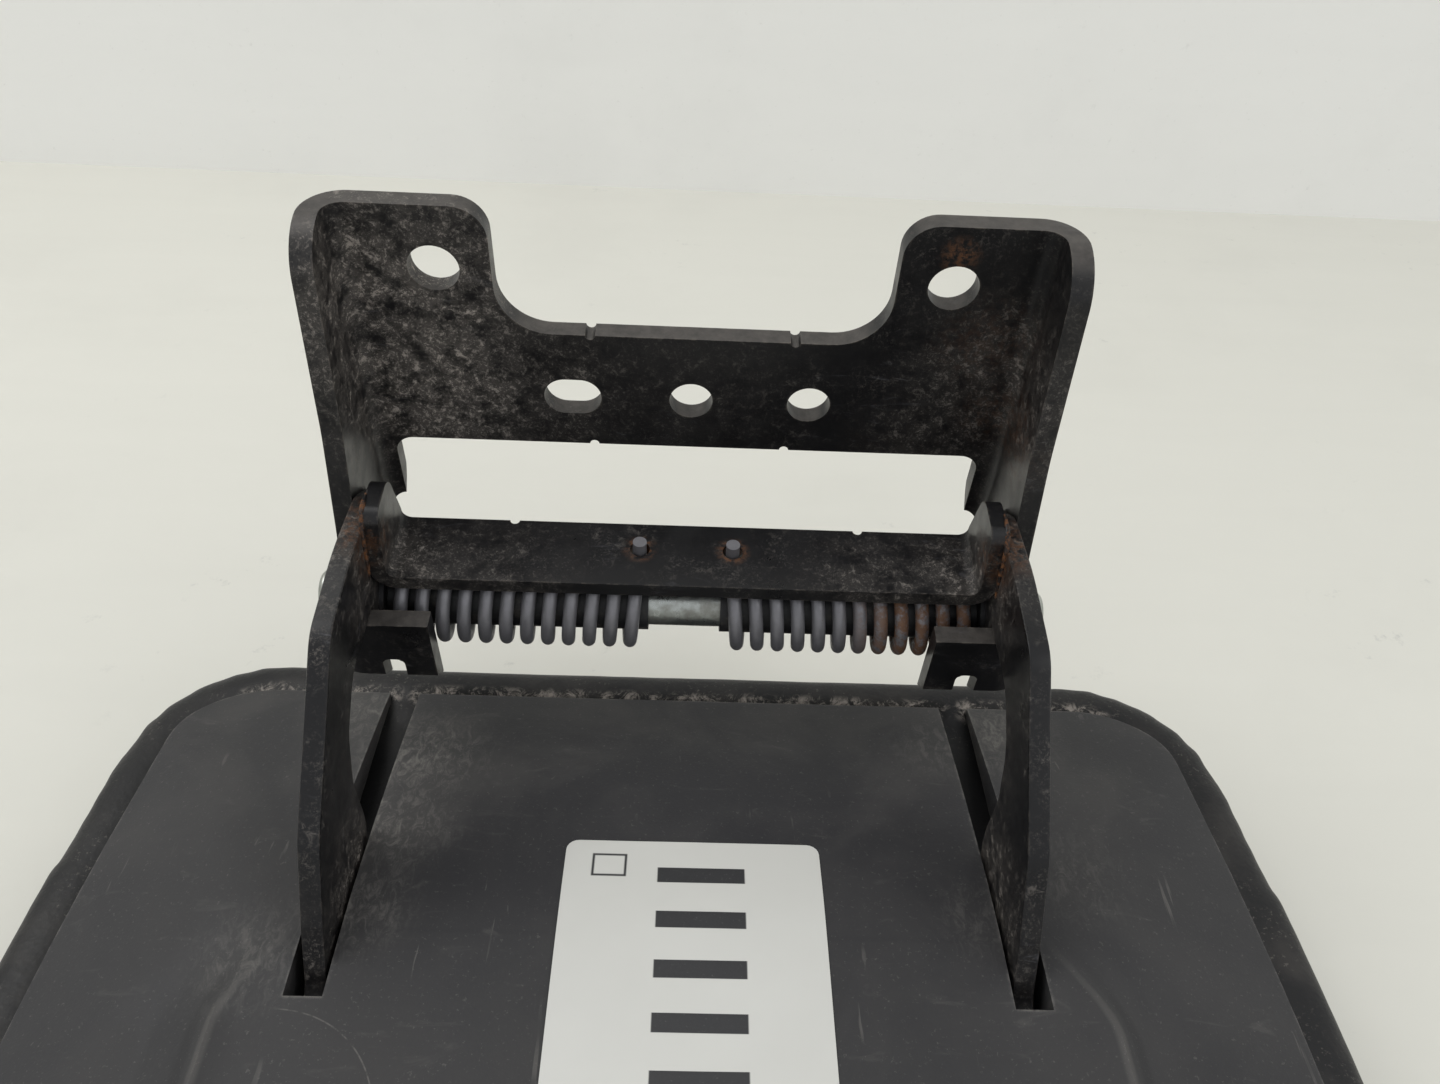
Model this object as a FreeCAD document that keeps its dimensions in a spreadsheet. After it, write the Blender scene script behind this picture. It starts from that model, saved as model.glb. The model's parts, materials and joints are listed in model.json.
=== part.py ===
"""Sprung tip-up seat pad on a folded steel hinge bracket, in millimetres.

Frame: +X along the hinge, +Y to the hinge end of the pad, +Z out of the pad's back.
The origin is the middle bolt hole, on the front face of the bracket's web.
The bracket has a frame of its own, which leans over the pad: X as above, V up the web,
and N out of the web's front face, over the pad.
"""
import FreeCAD, Part
import Sketcher
import math
import os

Vector = FreeCAD.Vector
Rotation = FreeCAD.Rotation
Placement = FreeCAD.Placement

SIZES = [
    ("lean", 7.0, "angle of the web over the pad, degrees"),
    ("plate", 5.0, "thickness of the bracket's plate"),
    ("inside_half", 82.0, "half the gap between the bracket's flanges"),
    ("bend_inside", 4.5, "inside radius of the bracket's bends"),
    ("web_low", 15.8, "middle hole down to the web's lower edge"),
    ("web_high", 19.4, "middle hole up to the web's upper edge, between the ears"),
    ("ear_top", 53.2, "middle hole up to the top of the ears"),
    ("ear_inner", 47.0, "half the gap between the ears"),
    ("ear_corner", 8.0, "radius at the ears' inner top corners"),
    ("ear_root", 13.0, "radius where the ears meet the web"),
    ("ear_hole_x", 60.2, "ear hole, out from the middle"),
    ("ear_hole_v", 37.0, "ear hole, up from the middle hole"),
    ("ear_hole_bore", 12.0, "diameter of the ear holes"),
    ("row_pitch", 30.0, "pitch of the row of three holes"),
    ("row_bore", 11.0, "diameter of the row's holes"),
    ("slot_end_to_end", 14.5, "length of the slotted hole"),
    ("notch_x", 25.0, "locating notch, out from the middle"),
    ("notch_bore", 2.4, "diameter of the locating notches"),
    ("window_corner", 5.0, "radius at the window's top corners"),
    ("flange_bottom", 57.0, "middle hole down to the bottom of the flanges"),
    ("flange_top_corner", 12.0, "radius at the flanges' front top corner"),
    ("tab_front", 51.2, "front face of the stop tabs, out from the web"),
    ("tab_high", 31.0, "middle hole down to the top of the stop tabs"),
    ("tab_low", 50.0, "middle hole down to the bottom of the stop tabs"),
    ("tab_inner", 62.3, "inner end of the stop tabs, out from the middle"),
    ("tab_notch_in", 70.0, "inner side of the notch under a stop tab"),
    ("tab_notch_out", 75.5, "outer side of the notch under a stop tab"),
    ("tab_notch_rise", 5.5, "height of the notch under a stop tab"),
    ("pivot_v", -40.0, "hinge axis, up from the middle hole"),
    ("pivot_n", 33.5, "hinge axis, out from the web"),
    ("shaft_bore", 12.0, "diameter of the shaft"),
    ("shaft_past", 6.0, "length of the shaft past each flange"),
    ("shaft_chamfer", 1.0, "chamfer at the shaft's ends"),
    ("running", 0.05, "radial clearance of a running fit"),
    ("washer_thick", 1.5, "thickness of the shaft's washers"),
    ("washer_outer", 24.0, "diameter of the shaft's washers"),
    ("ring_thick", 1.2, "thickness of the retaining rings"),
    ("ring_outer", 18.0, "diameter of the retaining rings"),
    ("ring_seat", 10.8, "diameter of the shaft in a ring groove"),
    ("ring_mouth", 8.0, "width of a retaining ring's mouth"),
    ("sleeve_outer", 14.6, "diameter of the spring sleeves"),
    ("sleeve_wall_gap", 0.2, "radial clearance of the sleeves on the shaft"),
    ("sleeve_inner_end", 9.2, "inner end of a sleeve, out from the middle"),
    ("coil_radius", 10.3, "mean radius of the spring coils"),
    ("wire", 3.5, "diameter of the spring wire"),
    ("coil_outer_end", 71.5, "outer end of the coils, out from the middle"),
    ("coil_inner_end", 12.0, "inner end of the coils, out from the middle"),
    ("coil_turns", 11.25, "turns in a spring"),
    ("leg_outer", 13.0, "length of a spring's outer leg"),
    ("leg_inner", 5.2, "length of a spring's inner leg past its bend"),
    ("leg_bend", 3.5, "radius of the bend into the inner leg"),
    ("arm_thick", 5.0, "thickness of the arms"),
    ("arm_gap", 0.5, "gap between an arm and its flange"),
    ("hub_radius", 12.2, "radius of an arm's hub"),
    ("stop_gap", 0.3, "gap between the arms and the stop tabs"),
    ("bush_wall", 2.0, "wall of the arm bushes"),
    ("bush_flange", 1.2, "thickness of the bush flanges"),
    ("bush_flange_bore", 20.0, "diameter of the bush flanges"),
    ("press", 0.02, "radial gap drawn at a pressed fit"),
    ("bridge_thick", 4.0, "thickness of the spring bridge"),
    ("bridge_over", 0.35, "gap between the springs and the bridge"),
    ("bridge_rear", 21.5, "rear edge of the bridge, out from the web"),
    ("bridge_front", 42.0, "front edge of the bridge, out from the web"),
    ("bridge_bend", 2.5, "inside radius of the bridge's bends"),
    ("bridge_ear_top", 5.0, "middle hole down to the top of the bridge's ears"),
    ("bridge_hole_bore", 5.0, "diameter of the bridge's holes"),
    ("bridge_notch_x", 44.0, "locating notch on the bridge, out from the middle"),
    ("pad_rear", 8.0, "middle hole forward to the rear of the pad"),
    ("pad_length", 330.0, "length of the pad"),
    ("pad_half", 162.5, "half the pad's width at the middle of its bowed sides, before the sweep"),
    ("pad_half_rear", 150.0, "half the pad's width at its rear corners"),
    ("pad_half_front", 146.0, "half the pad's width at its front corners"),
    ("pad_widest", 125.0, "rear of the pad to its widest place"),
    ("pad_bow", 9.0, "bow of the pad's front edge"),
    ("corner_rear", 38.0, "radius of the pad's rear corners"),
    ("corner_front", 72.0, "radius of the pad's front corners"),
    ("side_sweep", 700.0, "radius of the pad's bowed sides"),
    ("front_sweep", 900.0, "radius of the pad's bowed front"),
    ("roll_top", 90.0, "middle hole down to the top of the rolled edge"),
    ("roll_width", 13.0, "width of the rolled edge outside the back shell"),
    ("pad_depth", 45.0, "top of the rolled edge down to the seat face"),
    ("face_round", 15.0, "radius round the seat face"),
    ("skin", 1.5, "thickness of the cover"),
    ("soft_gap", 0.2, "gap between the cover, the foam and the board"),
    ("tuck", 30.0, "edge of the pad in to the edge of the tucked cover"),
    ("board_thick", 10.0, "thickness of the seat board"),
    ("board_inset", 9.0, "edge of the pad in to the edge of the board"),
    ("board_drop", 6.0, "top of the rolled edge down to the board"),
    ("shell_gap", 0.3, "gap between the back shell and the rolled edge"),
    ("shell_wall", 3.0, "wall of the back shell"),
    ("shell_rise", 14.0, "rolled edge up to the back shell's flat top"),
    ("top_rear", 91.0, "shell's rear edge forward to its flat top"),
    ("top_front", 75.0, "shell's front edge back to its flat top"),
    ("top_half", 97.0, "half the width of the shell's flat top"),
    ("groove_inside", 1.0, "gap between an arm and the inner side of its groove"),
    ("groove_outside", 2.5, "gap between an arm and the outer side of its groove"),
    ("groove_end", 121.0, "middle hole forward to the end of the arm grooves"),
    ("groove_wall", 2.0, "wall beside the arm grooves"),
    ("tie_thick", 3.0, "thickness of the tie plate"),
    ("tie_side", 10.5, "tie plate past the outer faces of the arms"),
    ("tie_rear", 74.0, "middle hole forward to the tie plate"),
    ("foot_front", 160.0, "middle hole forward to the front of the arms' feet"),
    ("foot_margin", 6.0, "tie plate past the arms' feet"),
    ("bolt_x", 55.0, "tie plate bolts, out from the middle"),
    ("bolt_rear", 90.0, "middle hole forward to the rear bolts"),
    ("bolt_front", 148.0, "middle hole forward to the front bolts"),
    ("bolt_shank", 6.0, "diameter of the tie plate bolts"),
    ("bolt_flats", 10.0, "width across flats of the bolt heads"),
    ("bolt_head", 4.0, "height of the bolt heads"),
    ("bolt_slack", 0.3, "radial clearance round bolts and screws"),
    ("tee_flange", 19.0, "diameter of the tee nuts' flanges"),
    ("tee_thick", 1.5, "thickness of the tee nuts' flanges"),
    ("tee_barrel", 8.0, "diameter of the tee nuts' barrels"),
    ("tee_length", 7.0, "length of the tee nuts' barrels"),
    ("screw_past_tie", 16.0, "rear shell screws, out from the side of the tie plate"),
    ("screw_rear", 75.0, "middle hole forward to the rear shell screws"),
    ("screw_side_x", 118.0, "side shell screws, out from the middle"),
    ("screw_side", 190.0, "middle hole forward to the side shell screws"),
    ("screw_front_x", 92.0, "front shell screws, out from the middle"),
    ("screw_front", 53.0, "front of the pad back to the front shell screws"),
    ("screw_shank", 4.0, "diameter of the shell screws"),
    ("screw_head", 8.0, "diameter of the shell screws' heads"),
    ("screw_head_thick", 2.5, "height of the shell screws' heads"),
    ("screw_length", 16.0, "length of the shell screws under the head"),
    ("boss", 10.0, "diameter of the shell's screw bosses"),
    ("staple_inset", 21.0, "edge of the pad in to the staples"),
    ("staple_pitch", 45.0, "pitch of the staples"),
    ("staple_crown", 10.0, "width of a staple"),
    ("staple_wire", 0.9, "thickness of the staple wire"),
    ("staple_leg", 6.0, "length of a staple's legs"),
    ("label_left", 27.0, "left edge of the label, out from the middle"),
    ("label_width", 62.0, "width of the label"),
    ("label_rear", 78.0, "middle hole forward to the label"),
    ("label_length", 110.0, "length of the label along the shell"),
    ("label_thick", 0.3, "thickness of the label"),
    ("label_gap", 0.05, "gap between the label and the shell"),
]

doc = FreeCAD.newDocument("tip_up_seat")
sheet = doc.addObject("Spreadsheet::Sheet", "dims")
for row, (alias, number, note) in enumerate(SIZES, 1):
    sheet.set(f"A{row}", note)
    sheet.set(f"B{row}", str(number))
    sheet.setAlias(f"B{row}", alias)
doc.recompute()


class Size:
    """A number together with the sheet expression that gives it."""

    def __init__(self, value, text=None):
        self.value = float(value)
        self.text = text if text is not None else f"{self.value:.6f}"

    def pair(self, other, sign, value):
        return Size(value, f"({self.text} {sign} {size(other).text})")

    def __add__(self, other):
        return self.pair(other, "+", self.value + size(other).value)

    def __sub__(self, other):
        return self.pair(other, "-", self.value - size(other).value)

    def __mul__(self, other):
        return self.pair(other, "*", self.value * size(other).value)

    def __truediv__(self, other):
        return self.pair(other, "/", self.value / size(other).value)

    def __neg__(self):
        return Size(-self.value, f"(0 - {self.text})")

    def __radd__(self, other):
        return size(other) + self

    def __rmul__(self, other):
        return size(other) * self

    def __rsub__(self, other):
        return size(other) - self


def size(number):
    return number if isinstance(number, Size) else Size(number)


class Sheet:
    """The sheet's cells by name: d.plate is the cell with the alias plate."""

    def __getattr__(self, alias):
        return Size(float(sheet.get(alias)), f"dims.{alias}")


d = Sheet()
sin_lean = Size(math.sin(math.radians(d.lean.value)), "sin(dims.lean)")
cos_lean = Size(math.cos(math.radians(d.lean.value)), "cos(dims.lean)")


def web_of(forward, up):
    """The bracket frame's (N, V) of a point of the pad's frame, given forward of the origin."""
    return forward * cos_lean - up * sin_lean, up * cos_lean + forward * sin_lean


# The bracket's frame, and the same frame seen from its side: N to the right, V up.
web_frame = Placement(Vector(0, 0, 0), Rotation(Vector(1, 0, 0), 90 + d.lean.value))
side_turn = Placement(Vector(0, 0, 0), Rotation(Vector(0, 1, 0), -90))
side_frame = web_frame.multiply(side_turn)
pad_side = Placement(Vector(0, 0, 0), Rotation(Vector(1, 1, 1), 120))


def at(frame, x=0, y=0, z=0):
    """A frame moved along its own axes."""
    return frame.multiply(Placement(Vector(size(x).value, size(y).value, size(z).value), Rotation()))


def bind(thing, name, number):
    thing.setExpression(name, size(number).text)


def plane_of(body, role):
    return [item for item in body.Origin.OriginFeatures if item.Role == role][0]


def new_sketch(body, name, role="XY_Plane", offset=0):
    sketch = body.newObject("Sketcher::SketchObject", name)
    sketch.AttachmentSupport = [(plane_of(body, role), "")]
    sketch.MapMode = "FlatFace"
    sketch.AttachmentOffset = Placement(Vector(0, 0, size(offset).value), Rotation())
    return sketch


def fix_number(sketch, constraint, number):
    index = sketch.addConstraint(constraint)
    sketch.setExpression(f"Constraints[{index}]", size(number).text)


def draw_circle(sketch, x, y, diameter):
    """A circle with its centre and diameter bound to the sheet."""
    x, y, diameter = size(x), size(y), size(diameter)
    circle = Part.Circle(Vector(x.value, y.value, 0), Vector(0, 0, 1), diameter.value / 2)
    index = sketch.addGeometry(circle, False)
    fix_number(sketch, Sketcher.Constraint("DistanceX", index, 3, x.value), x)
    fix_number(sketch, Sketcher.Constraint("DistanceY", index, 3, y.value), y)
    fix_number(sketch, Sketcher.Constraint("Diameter", index, diameter.value), diameter)


def draw_outline(sketch, corners):
    """A closed outline through corners (x, y) or (x, y, radius), its corners rounded."""
    corners = [tuple(size(number) for number in corner) for corner in corners]
    points = [Vector(corner[0].value, corner[1].value, 0) for corner in corners]
    count = len(points)
    starts, ends, arcs = [], [], []
    for i, corner in enumerate(corners):
        here = points[i]
        back = (points[i - 1] - here).normalize()
        ahead = (points[(i + 1) % count] - here).normalize()
        if len(corner) < 3:
            ends.append(here)
            starts.append(here)
            arcs.append(None)
            continue
        radius = corner[2].value
        half = back.getAngle(ahead) / 2
        reach = radius / math.tan(half)
        centre = here + (back + ahead).normalize() * (radius / math.sin(half))
        ends.append(here + back * reach)
        starts.append(here + ahead * reach)
        arcs.append((centre, radius, back.cross(ahead).z < 0))
    lines = []
    for i in range(count):
        lines.append(sketch.addGeometry(Part.LineSegment(starts[i], ends[(i + 1) % count]), False))
    for i, corner in enumerate(corners):
        mark = sketch.addGeometry(Part.Point(points[i]), True)
        fix_number(sketch, Sketcher.Constraint("DistanceX", mark, 1, points[i].x), corner[0])
        fix_number(sketch, Sketcher.Constraint("DistanceY", mark, 1, points[i].y), corner[1])
        before, after = lines[i - 1], lines[i]
        sketch.addConstraint(Sketcher.Constraint("PointOnObject", mark, 1, before))
        sketch.addConstraint(Sketcher.Constraint("PointOnObject", mark, 1, after))
        if arcs[i] is None:
            sketch.addConstraint(Sketcher.Constraint("Coincident", before, 2, after, 1))
            continue
        centre, radius, convex = arcs[i]
        first, last = (ends[i], starts[i]) if convex else (starts[i], ends[i])
        angles = [math.atan2(point.y - centre.y, point.x - centre.x) for point in (first, last)]
        circle = Part.Circle(centre, Vector(0, 0, 1), radius)
        arc = sketch.addGeometry(Part.ArcOfCircle(circle, angles[0], angles[1]), False)
        inward, outward = (1, 2) if convex else (2, 1)
        sketch.addConstraint(Sketcher.Constraint("Tangent", before, 2, arc, inward))
        sketch.addConstraint(Sketcher.Constraint("Tangent", arc, outward, after, 1))
        fix_number(sketch, Sketcher.Constraint("Radius", arc, radius), corner[2])


def new_body(label, frame):
    body = doc.addObject("PartDesign::Body", label)
    body.Label = label
    body.Placement = frame
    return body


def pad_up(body, sketch, length):
    pad = body.newObject("PartDesign::Pad", sketch.Name + "_pad")
    pad.Profile = sketch
    bind(pad, "Length", length)
    sketch.Visibility = False
    doc.recompute()
    return pad


def cut_through(body, sketch):
    """Cuts a sketch through the whole body, both ways from its plane."""
    before = body.Shape.Volume
    pocket = body.newObject("PartDesign::Pocket", sketch.Name + "_cut")
    pocket.Profile = sketch
    pocket.Type = "ThroughAll"
    pocket.Midplane = True
    doc.recompute()
    if body.Shape.Volume >= before:
        raise ValueError(f"{sketch.Name} cuts nothing")
    return pocket


def cut_down(body, sketch, depth):
    """Cuts a sketch to a depth, against its plane's normal."""
    before = body.Shape.Volume
    pocket = body.newObject("PartDesign::Pocket", sketch.Name + "_cut")
    pocket.Profile = sketch
    bind(pocket, "Length", depth)
    doc.recompute()
    if body.Shape.Volume >= before:
        raise ValueError(f"{sketch.Name} cuts nothing")
    return pocket


def plate_body(label, frame, corners, thickness, holes=()):
    """A flat plate from an outline in the frame's XY plane, with round holes (x, y, diameter)."""
    body = new_body(label, frame)
    sketch = new_sketch(body, label + "_outline")
    draw_outline(sketch, corners)
    for x, y, diameter in holes:
        draw_circle(sketch, x, y, diameter)
    pad_up(body, sketch, thickness)
    return body


def cylinder(name, frame, radius, height):
    """A cylinder standing on the frame's origin along its Z axis."""
    solid = doc.addObject("Part::Cylinder", name)
    bind(solid, "Radius", radius)
    bind(solid, "Height", height)
    solid.Placement = frame
    return solid


def box(name, low, high):
    """A box between two corners, each given as three sizes."""
    solid = doc.addObject("Part::Box", name)
    low = [size(number) for number in low]
    high = [size(number) for number in high]
    for side, start, end in zip(("Length", "Width", "Height"), low, high):
        bind(solid, side, end - start)
    for axis, start in zip("xyz", low):
        bind(solid, f"Placement.Base.{axis}", start)
    return solid


def joined(kind, label, shapes):
    """Part::MultiFuse, Part::MultiCommon or Part::Compound of several shapes."""
    result = doc.addObject(kind, label)
    result.Label = label
    if kind == "Part::Compound":
        result.Links = shapes
    else:
        result.Shapes = shapes
    return result


def minus(label, base, tool):
    result = doc.addObject("Part::Cut", label)
    result.Label = label
    result.Base = base
    result.Tool = tool
    return result


def mirrored(label, source):
    """The source's copy on the other side of the seat's middle plane."""
    result = doc.addObject("Part::Mirroring", label)
    result.Label = label
    result.Source = source
    result.Normal = Vector(1, 0, 0)
    return result


def tube(label, frame, inner, outer, height):
    """A tube with a through bore, along the frame's Z axis."""
    past = 1.0
    wall = cylinder(label + "_wall", frame, outer, height)
    bore = cylinder(label + "_bore", at(frame, z=-past), inner, height + 2 * past)
    return minus(label, wall, bore)


# ---- the bracket: one plate, pressed to a channel, with stop tabs folded in ----

flange_outer = d.inside_half + d.plate


def channel_section():
    """The folded plate from above: a web, two bends and two flanges, in X and N."""
    outer = d.bend_inside + d.plate
    return [
        (-flange_outer, -d.plate, outer), (flange_outer, -d.plate, outer),
        (flange_outer, d.tab_front, d.plate + 2), (d.tab_inner, d.tab_front),
        (d.tab_inner, d.tab_front - d.plate), (d.inside_half, d.tab_front - d.plate, 1),
        (d.inside_half, 0, d.bend_inside), (-d.inside_half, 0, d.bend_inside),
        (-d.inside_half, d.tab_front - d.plate, 1), (-d.tab_inner, d.tab_front - d.plate),
        (-d.tab_inner, d.tab_front), (-flange_outer, d.tab_front, d.plate + 2),
    ]


def flange_outline():
    """A flange from its side, in N and V, from the bottom of its hub."""
    rear = -d.plate - 1
    return [
        (d.pivot_n - 14, -d.flange_bottom, 20), (d.pivot_n + 12, -d.flange_bottom, 10),
        (d.tab_front - 1.4, -d.tab_low - 2, 4), (d.tab_front + 1, -d.tab_low),
        (d.tab_front + 1, -d.tab_high), (d.tab_front - d.plate - 4, -d.tab_high, 3),
        (31, -25, 9), (22.6, 5, 60), (17.2, 36, 20), (14, d.ear_top, d.flange_top_corner),
        (rear, d.ear_top), (rear, -30, 14),
    ]


def make_bracket():
    body = new_body("mounting_bracket", web_frame)
    section = new_sketch(body, "channel", "XZ_Plane", d.flange_bottom)
    draw_outline(section, channel_section())
    pad_up(body, section, d.flange_bottom + d.ear_top + 2).Reversed = True
    doc.recompute()

    flank = new_sketch(body, "flank", "YZ_Plane")
    draw_outline(flank, [(v, n, *radius) for n, v, *radius in flange_outline()])
    frame = 90
    draw_outline(flank, [(-frame, -frame), (frame, -frame), (frame, frame), (-frame, frame)])
    cut_through(body, flank)

    front = new_sketch(body, "front", "XY_Plane", 1)
    lip = d.inside_half - d.bend_inside
    below = -d.flange_bottom - 5
    above = d.ear_top + 5
    draw_outline(front, [
        (-lip, below), (lip, below), (lip, -d.web_low, d.window_corner),
        (-lip, -d.web_low, d.window_corner),
    ])
    draw_outline(front, [
        (-d.ear_inner - d.ear_corner - 6, above), (-d.ear_inner - d.ear_corner - 6, d.ear_top - 0.01),
        (-d.ear_inner, d.ear_top - 0.01, d.ear_corner), (-d.ear_inner, d.web_high, d.ear_root),
        (d.ear_inner, d.web_high, d.ear_root), (d.ear_inner, d.ear_top - 0.01, d.ear_corner),
        (d.ear_inner + d.ear_corner + 6, d.ear_top - 0.01), (d.ear_inner + d.ear_corner + 6, above),
    ])
    draw_circle(front, 0, 0, d.row_bore)
    draw_circle(front, d.row_pitch, 0, d.row_bore)
    flat = (d.slot_end_to_end - d.row_bore) / 2
    near_round = d.row_bore / 2 - 0.02
    draw_outline(front, [
        (-d.row_pitch - flat - d.row_bore / 2, -d.row_bore / 2, near_round),
        (-d.row_pitch + flat + d.row_bore / 2, -d.row_bore / 2, near_round),
        (-d.row_pitch + flat + d.row_bore / 2, d.row_bore / 2, near_round),
        (-d.row_pitch - flat - d.row_bore / 2, d.row_bore / 2, near_round),
    ])
    for side in (-1, 1):
        draw_circle(front, side * d.ear_hole_x, d.ear_hole_v, d.ear_hole_bore)
    cut_down(body, front, d.plate + 2)

    notches = new_sketch(body, "notches", "XY_Plane", 1)
    for side in (-1, 1):
        for edge in (d.web_high, -d.web_low):
            draw_circle(notches, side * d.notch_x, edge, d.notch_bore)
    cut_down(body, notches, d.plate + 2)

    under = new_sketch(body, "tab_notches", "XY_Plane", d.tab_front + 1)
    for side in (-1, 1):
        corners = [
            (side * d.tab_notch_in, -d.tab_low - 9), (side * d.tab_notch_out, -d.tab_low - 9),
            (side * d.tab_notch_out, -d.tab_low + d.tab_notch_rise, 2),
            (side * d.tab_notch_in, -d.tab_low + d.tab_notch_rise, 2),
        ]
        draw_outline(under, corners)
    cut_down(body, under, d.plate + 1.5)

    bores = new_sketch(body, "shaft_holes", "YZ_Plane")
    draw_circle(bores, d.pivot_v, d.pivot_n, d.shaft_bore + 2 * d.running)
    cut_through(body, bores)
    return body


# ---- the shaft and what holds it ----

pivot_side = at(side_frame, d.pivot_n, d.pivot_v)
washer_inner = d.shaft_bore / 2 + 0.1


def make_shaft():
    """A turned shaft, with a chamfer at each end and two ring grooves."""
    radius = d.shaft_bore / 2
    end = flange_outer + d.shaft_past
    groove = flange_outer + d.washer_thick + 0.1
    far = groove + d.ring_thick + 0.1
    seat = d.ring_seat / 2
    half = [
        (groove, radius), (groove, seat), (far, seat), (far, radius),
        (end - d.shaft_chamfer, radius), (end, radius - d.shaft_chamfer), (end, 0),
    ]
    other = [(-x, r) for x, r in reversed(half)]
    body = new_body("pivot_shaft", at(web_frame, 0, d.pivot_v, d.pivot_n))
    sketch = new_sketch(body, "shaft_profile")
    draw_outline(sketch, half + other)
    turned = body.newObject("PartDesign::Revolution", "shaft_turned")
    turned.Profile = sketch
    turned.ReferenceAxis = (sketch, ["H_Axis"])
    turned.Angle = 360
    doc.recompute()


def make_washers():
    plates = []
    for name, start in (("right", -flange_outer - d.washer_thick), ("left", flange_outer)):
        frame = at(pivot_side, z=start)
        plates.append(tube("washer_" + name, frame, washer_inner, d.washer_outer / 2, d.washer_thick))
    joined("Part::Compound", "shaft_washers", plates)


def make_rings():
    """Open retaining rings, snapped into the shaft's grooves."""
    rings = []
    past = flange_outer + d.washer_thick + 0.15
    for name, start in (("right", -past - d.ring_thick), ("left", past)):
        frame = at(pivot_side, z=start)
        full = tube("ring_full_" + name, frame, d.ring_seat / 2 + 0.1, d.ring_outer / 2, d.ring_thick)
        mouth = doc.addObject("Part::Box", "ring_mouth_" + name)
        bind(mouth, "Length", d.ring_mouth)
        bind(mouth, "Width", d.ring_outer)
        bind(mouth, "Height", d.ring_thick + 2)
        mouth.Placement = at(frame, -d.ring_mouth / 2, -d.ring_outer, -1)
        rings.append(minus("ring_" + name, full, mouth))
    joined("Part::Compound", "shaft_retaining_rings", rings)


# ---- the springs and their sleeves ----

arm_outer = d.inside_half - d.arm_gap
arm_inner = arm_outer - d.arm_thick
bush_face = arm_inner - d.bush_flange


def make_sleeves():
    length = bush_face - 0.3 - d.sleeve_inner_end
    frame = at(pivot_side, z=-d.sleeve_inner_end - length)
    inner = d.shaft_bore / 2 + d.sleeve_wall_gap
    right = tube("spring_sleeve_right", frame, inner, d.sleeve_outer / 2, length)
    mirrored("spring_sleeve_left", right)


def make_springs():
    """A torsion spring: a leg down behind the tab, the coils, and a leg up through the bridge."""
    radius = d.coil_radius.value
    length = (d.coil_outer_end - d.coil_inner_end).value
    turns = d.coil_turns.value
    pitch = length / turns
    helix = Part.makeLongHelix(pitch, length, radius, 0)
    slope = math.atan2(pitch, 2 * math.pi * radius)
    along = math.sin(slope)
    start = Vector(radius, 0, 0)
    tail = start + Vector(0, -math.cos(slope), -along) * d.leg_outer.value
    bend = d.leg_bend.value
    sweep = math.radians(360 * turns)
    top = Vector(radius * math.cos(sweep), radius * math.sin(sweep), length)
    forward = Vector(-math.sin(sweep) * math.cos(slope), math.cos(sweep) * math.cos(slope), along)
    up = Vector(0, 1, 0)
    middle = top + forward * (bend * math.sin(math.pi / 4)) + up * (bend * (1 - math.cos(math.pi / 4)))
    corner = top + forward * bend + up * bend
    tip = corner + up * d.leg_inner.value
    edges = [Part.LineSegment(tail, start).toShape()] + helix.Edges
    edges += [Part.Arc(top, middle, corner).toShape(), Part.LineSegment(corner, tip).toShape()]
    path = Part.Wire(edges)
    section = Part.Wire(Part.makeCircle(d.wire.value / 2, tail, start - tail))
    coil = path.makePipeShell([section], True, True)
    right = doc.addObject("Part::Feature", "torsion_spring_right")
    right.Shape = coil
    right.Placement = at(pivot_side, z=-d.coil_outer_end)
    mirrored("torsion_spring_left", right)


# ---- the arms, their bushes and the bridge that the springs push ----

def arm_outline():
    """An arm from its side, in N and V: hub, swan neck and a foot on the tie plate."""
    plate_top = -d.roll_top - d.board_drop + d.tie_thick
    heel = web_of(d.tie_rear + d.foot_margin, plate_top)
    toe = web_of(d.foot_front, plate_top)
    toe_top = web_of(d.foot_front, plate_top + 9)
    instep = web_of(d.groove_end - 4, plate_top + 10.5)
    hub = d.hub_radius - 0.01
    rest = -d.tab_high + d.stop_gap
    return [
        (d.pivot_n - d.hub_radius, d.pivot_v - d.hub_radius, hub),
        (d.pivot_n + d.hub_radius, d.pivot_v - d.hub_radius, hub),
        (d.tab_front - d.plate - 0.6, rest),
        (66, rest + 1.4, 14), (78, -38, 12), (83.5, -50, 12), (83.5, -66, 20),
        heel, toe, (*toe_top, 5), (*instep, 6),
        (117.5, -53, 14), (106, -36.5, 20), (84, -19.5, 14), (71, -9, 12), (48, -7.8, 60),
        (27.2, -10.8, 9), (14.4, -19.8, 5),
    ]


def make_arms():
    bush_bore = d.shaft_bore + 2 * (d.running + d.bush_wall + d.press)
    hole = [(d.pivot_n, d.pivot_v, bush_bore)]
    plate_body("right_arm", at(side_frame, z=-arm_outer), arm_outline(), d.arm_thick, hole)
    plate_body("left_arm", at(side_frame, z=arm_inner), arm_outline(), d.arm_thick, hole)


def make_bushes():
    """Flanged bushes in the arms' hubs, running on the shaft."""
    inner = d.shaft_bore / 2 + d.running
    outer = inner + d.bush_wall
    frame = at(pivot_side, z=-arm_outer - 0.2)
    barrel = cylinder("bush_barrel", frame, outer, d.arm_thick + 0.2 + d.bush_flange)
    collar = cylinder("bush_collar", at(pivot_side, z=-arm_inner), d.bush_flange_bore / 2, d.bush_flange)
    solid = joined("Part::MultiFuse", "bush_solid", [barrel, collar])
    bore = cylinder("bush_bore", at(frame, z=-1), inner, d.arm_thick + d.bush_flange + 3)
    right = minus("right_bush", solid, bore)
    mirrored("left_bush", right)


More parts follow.
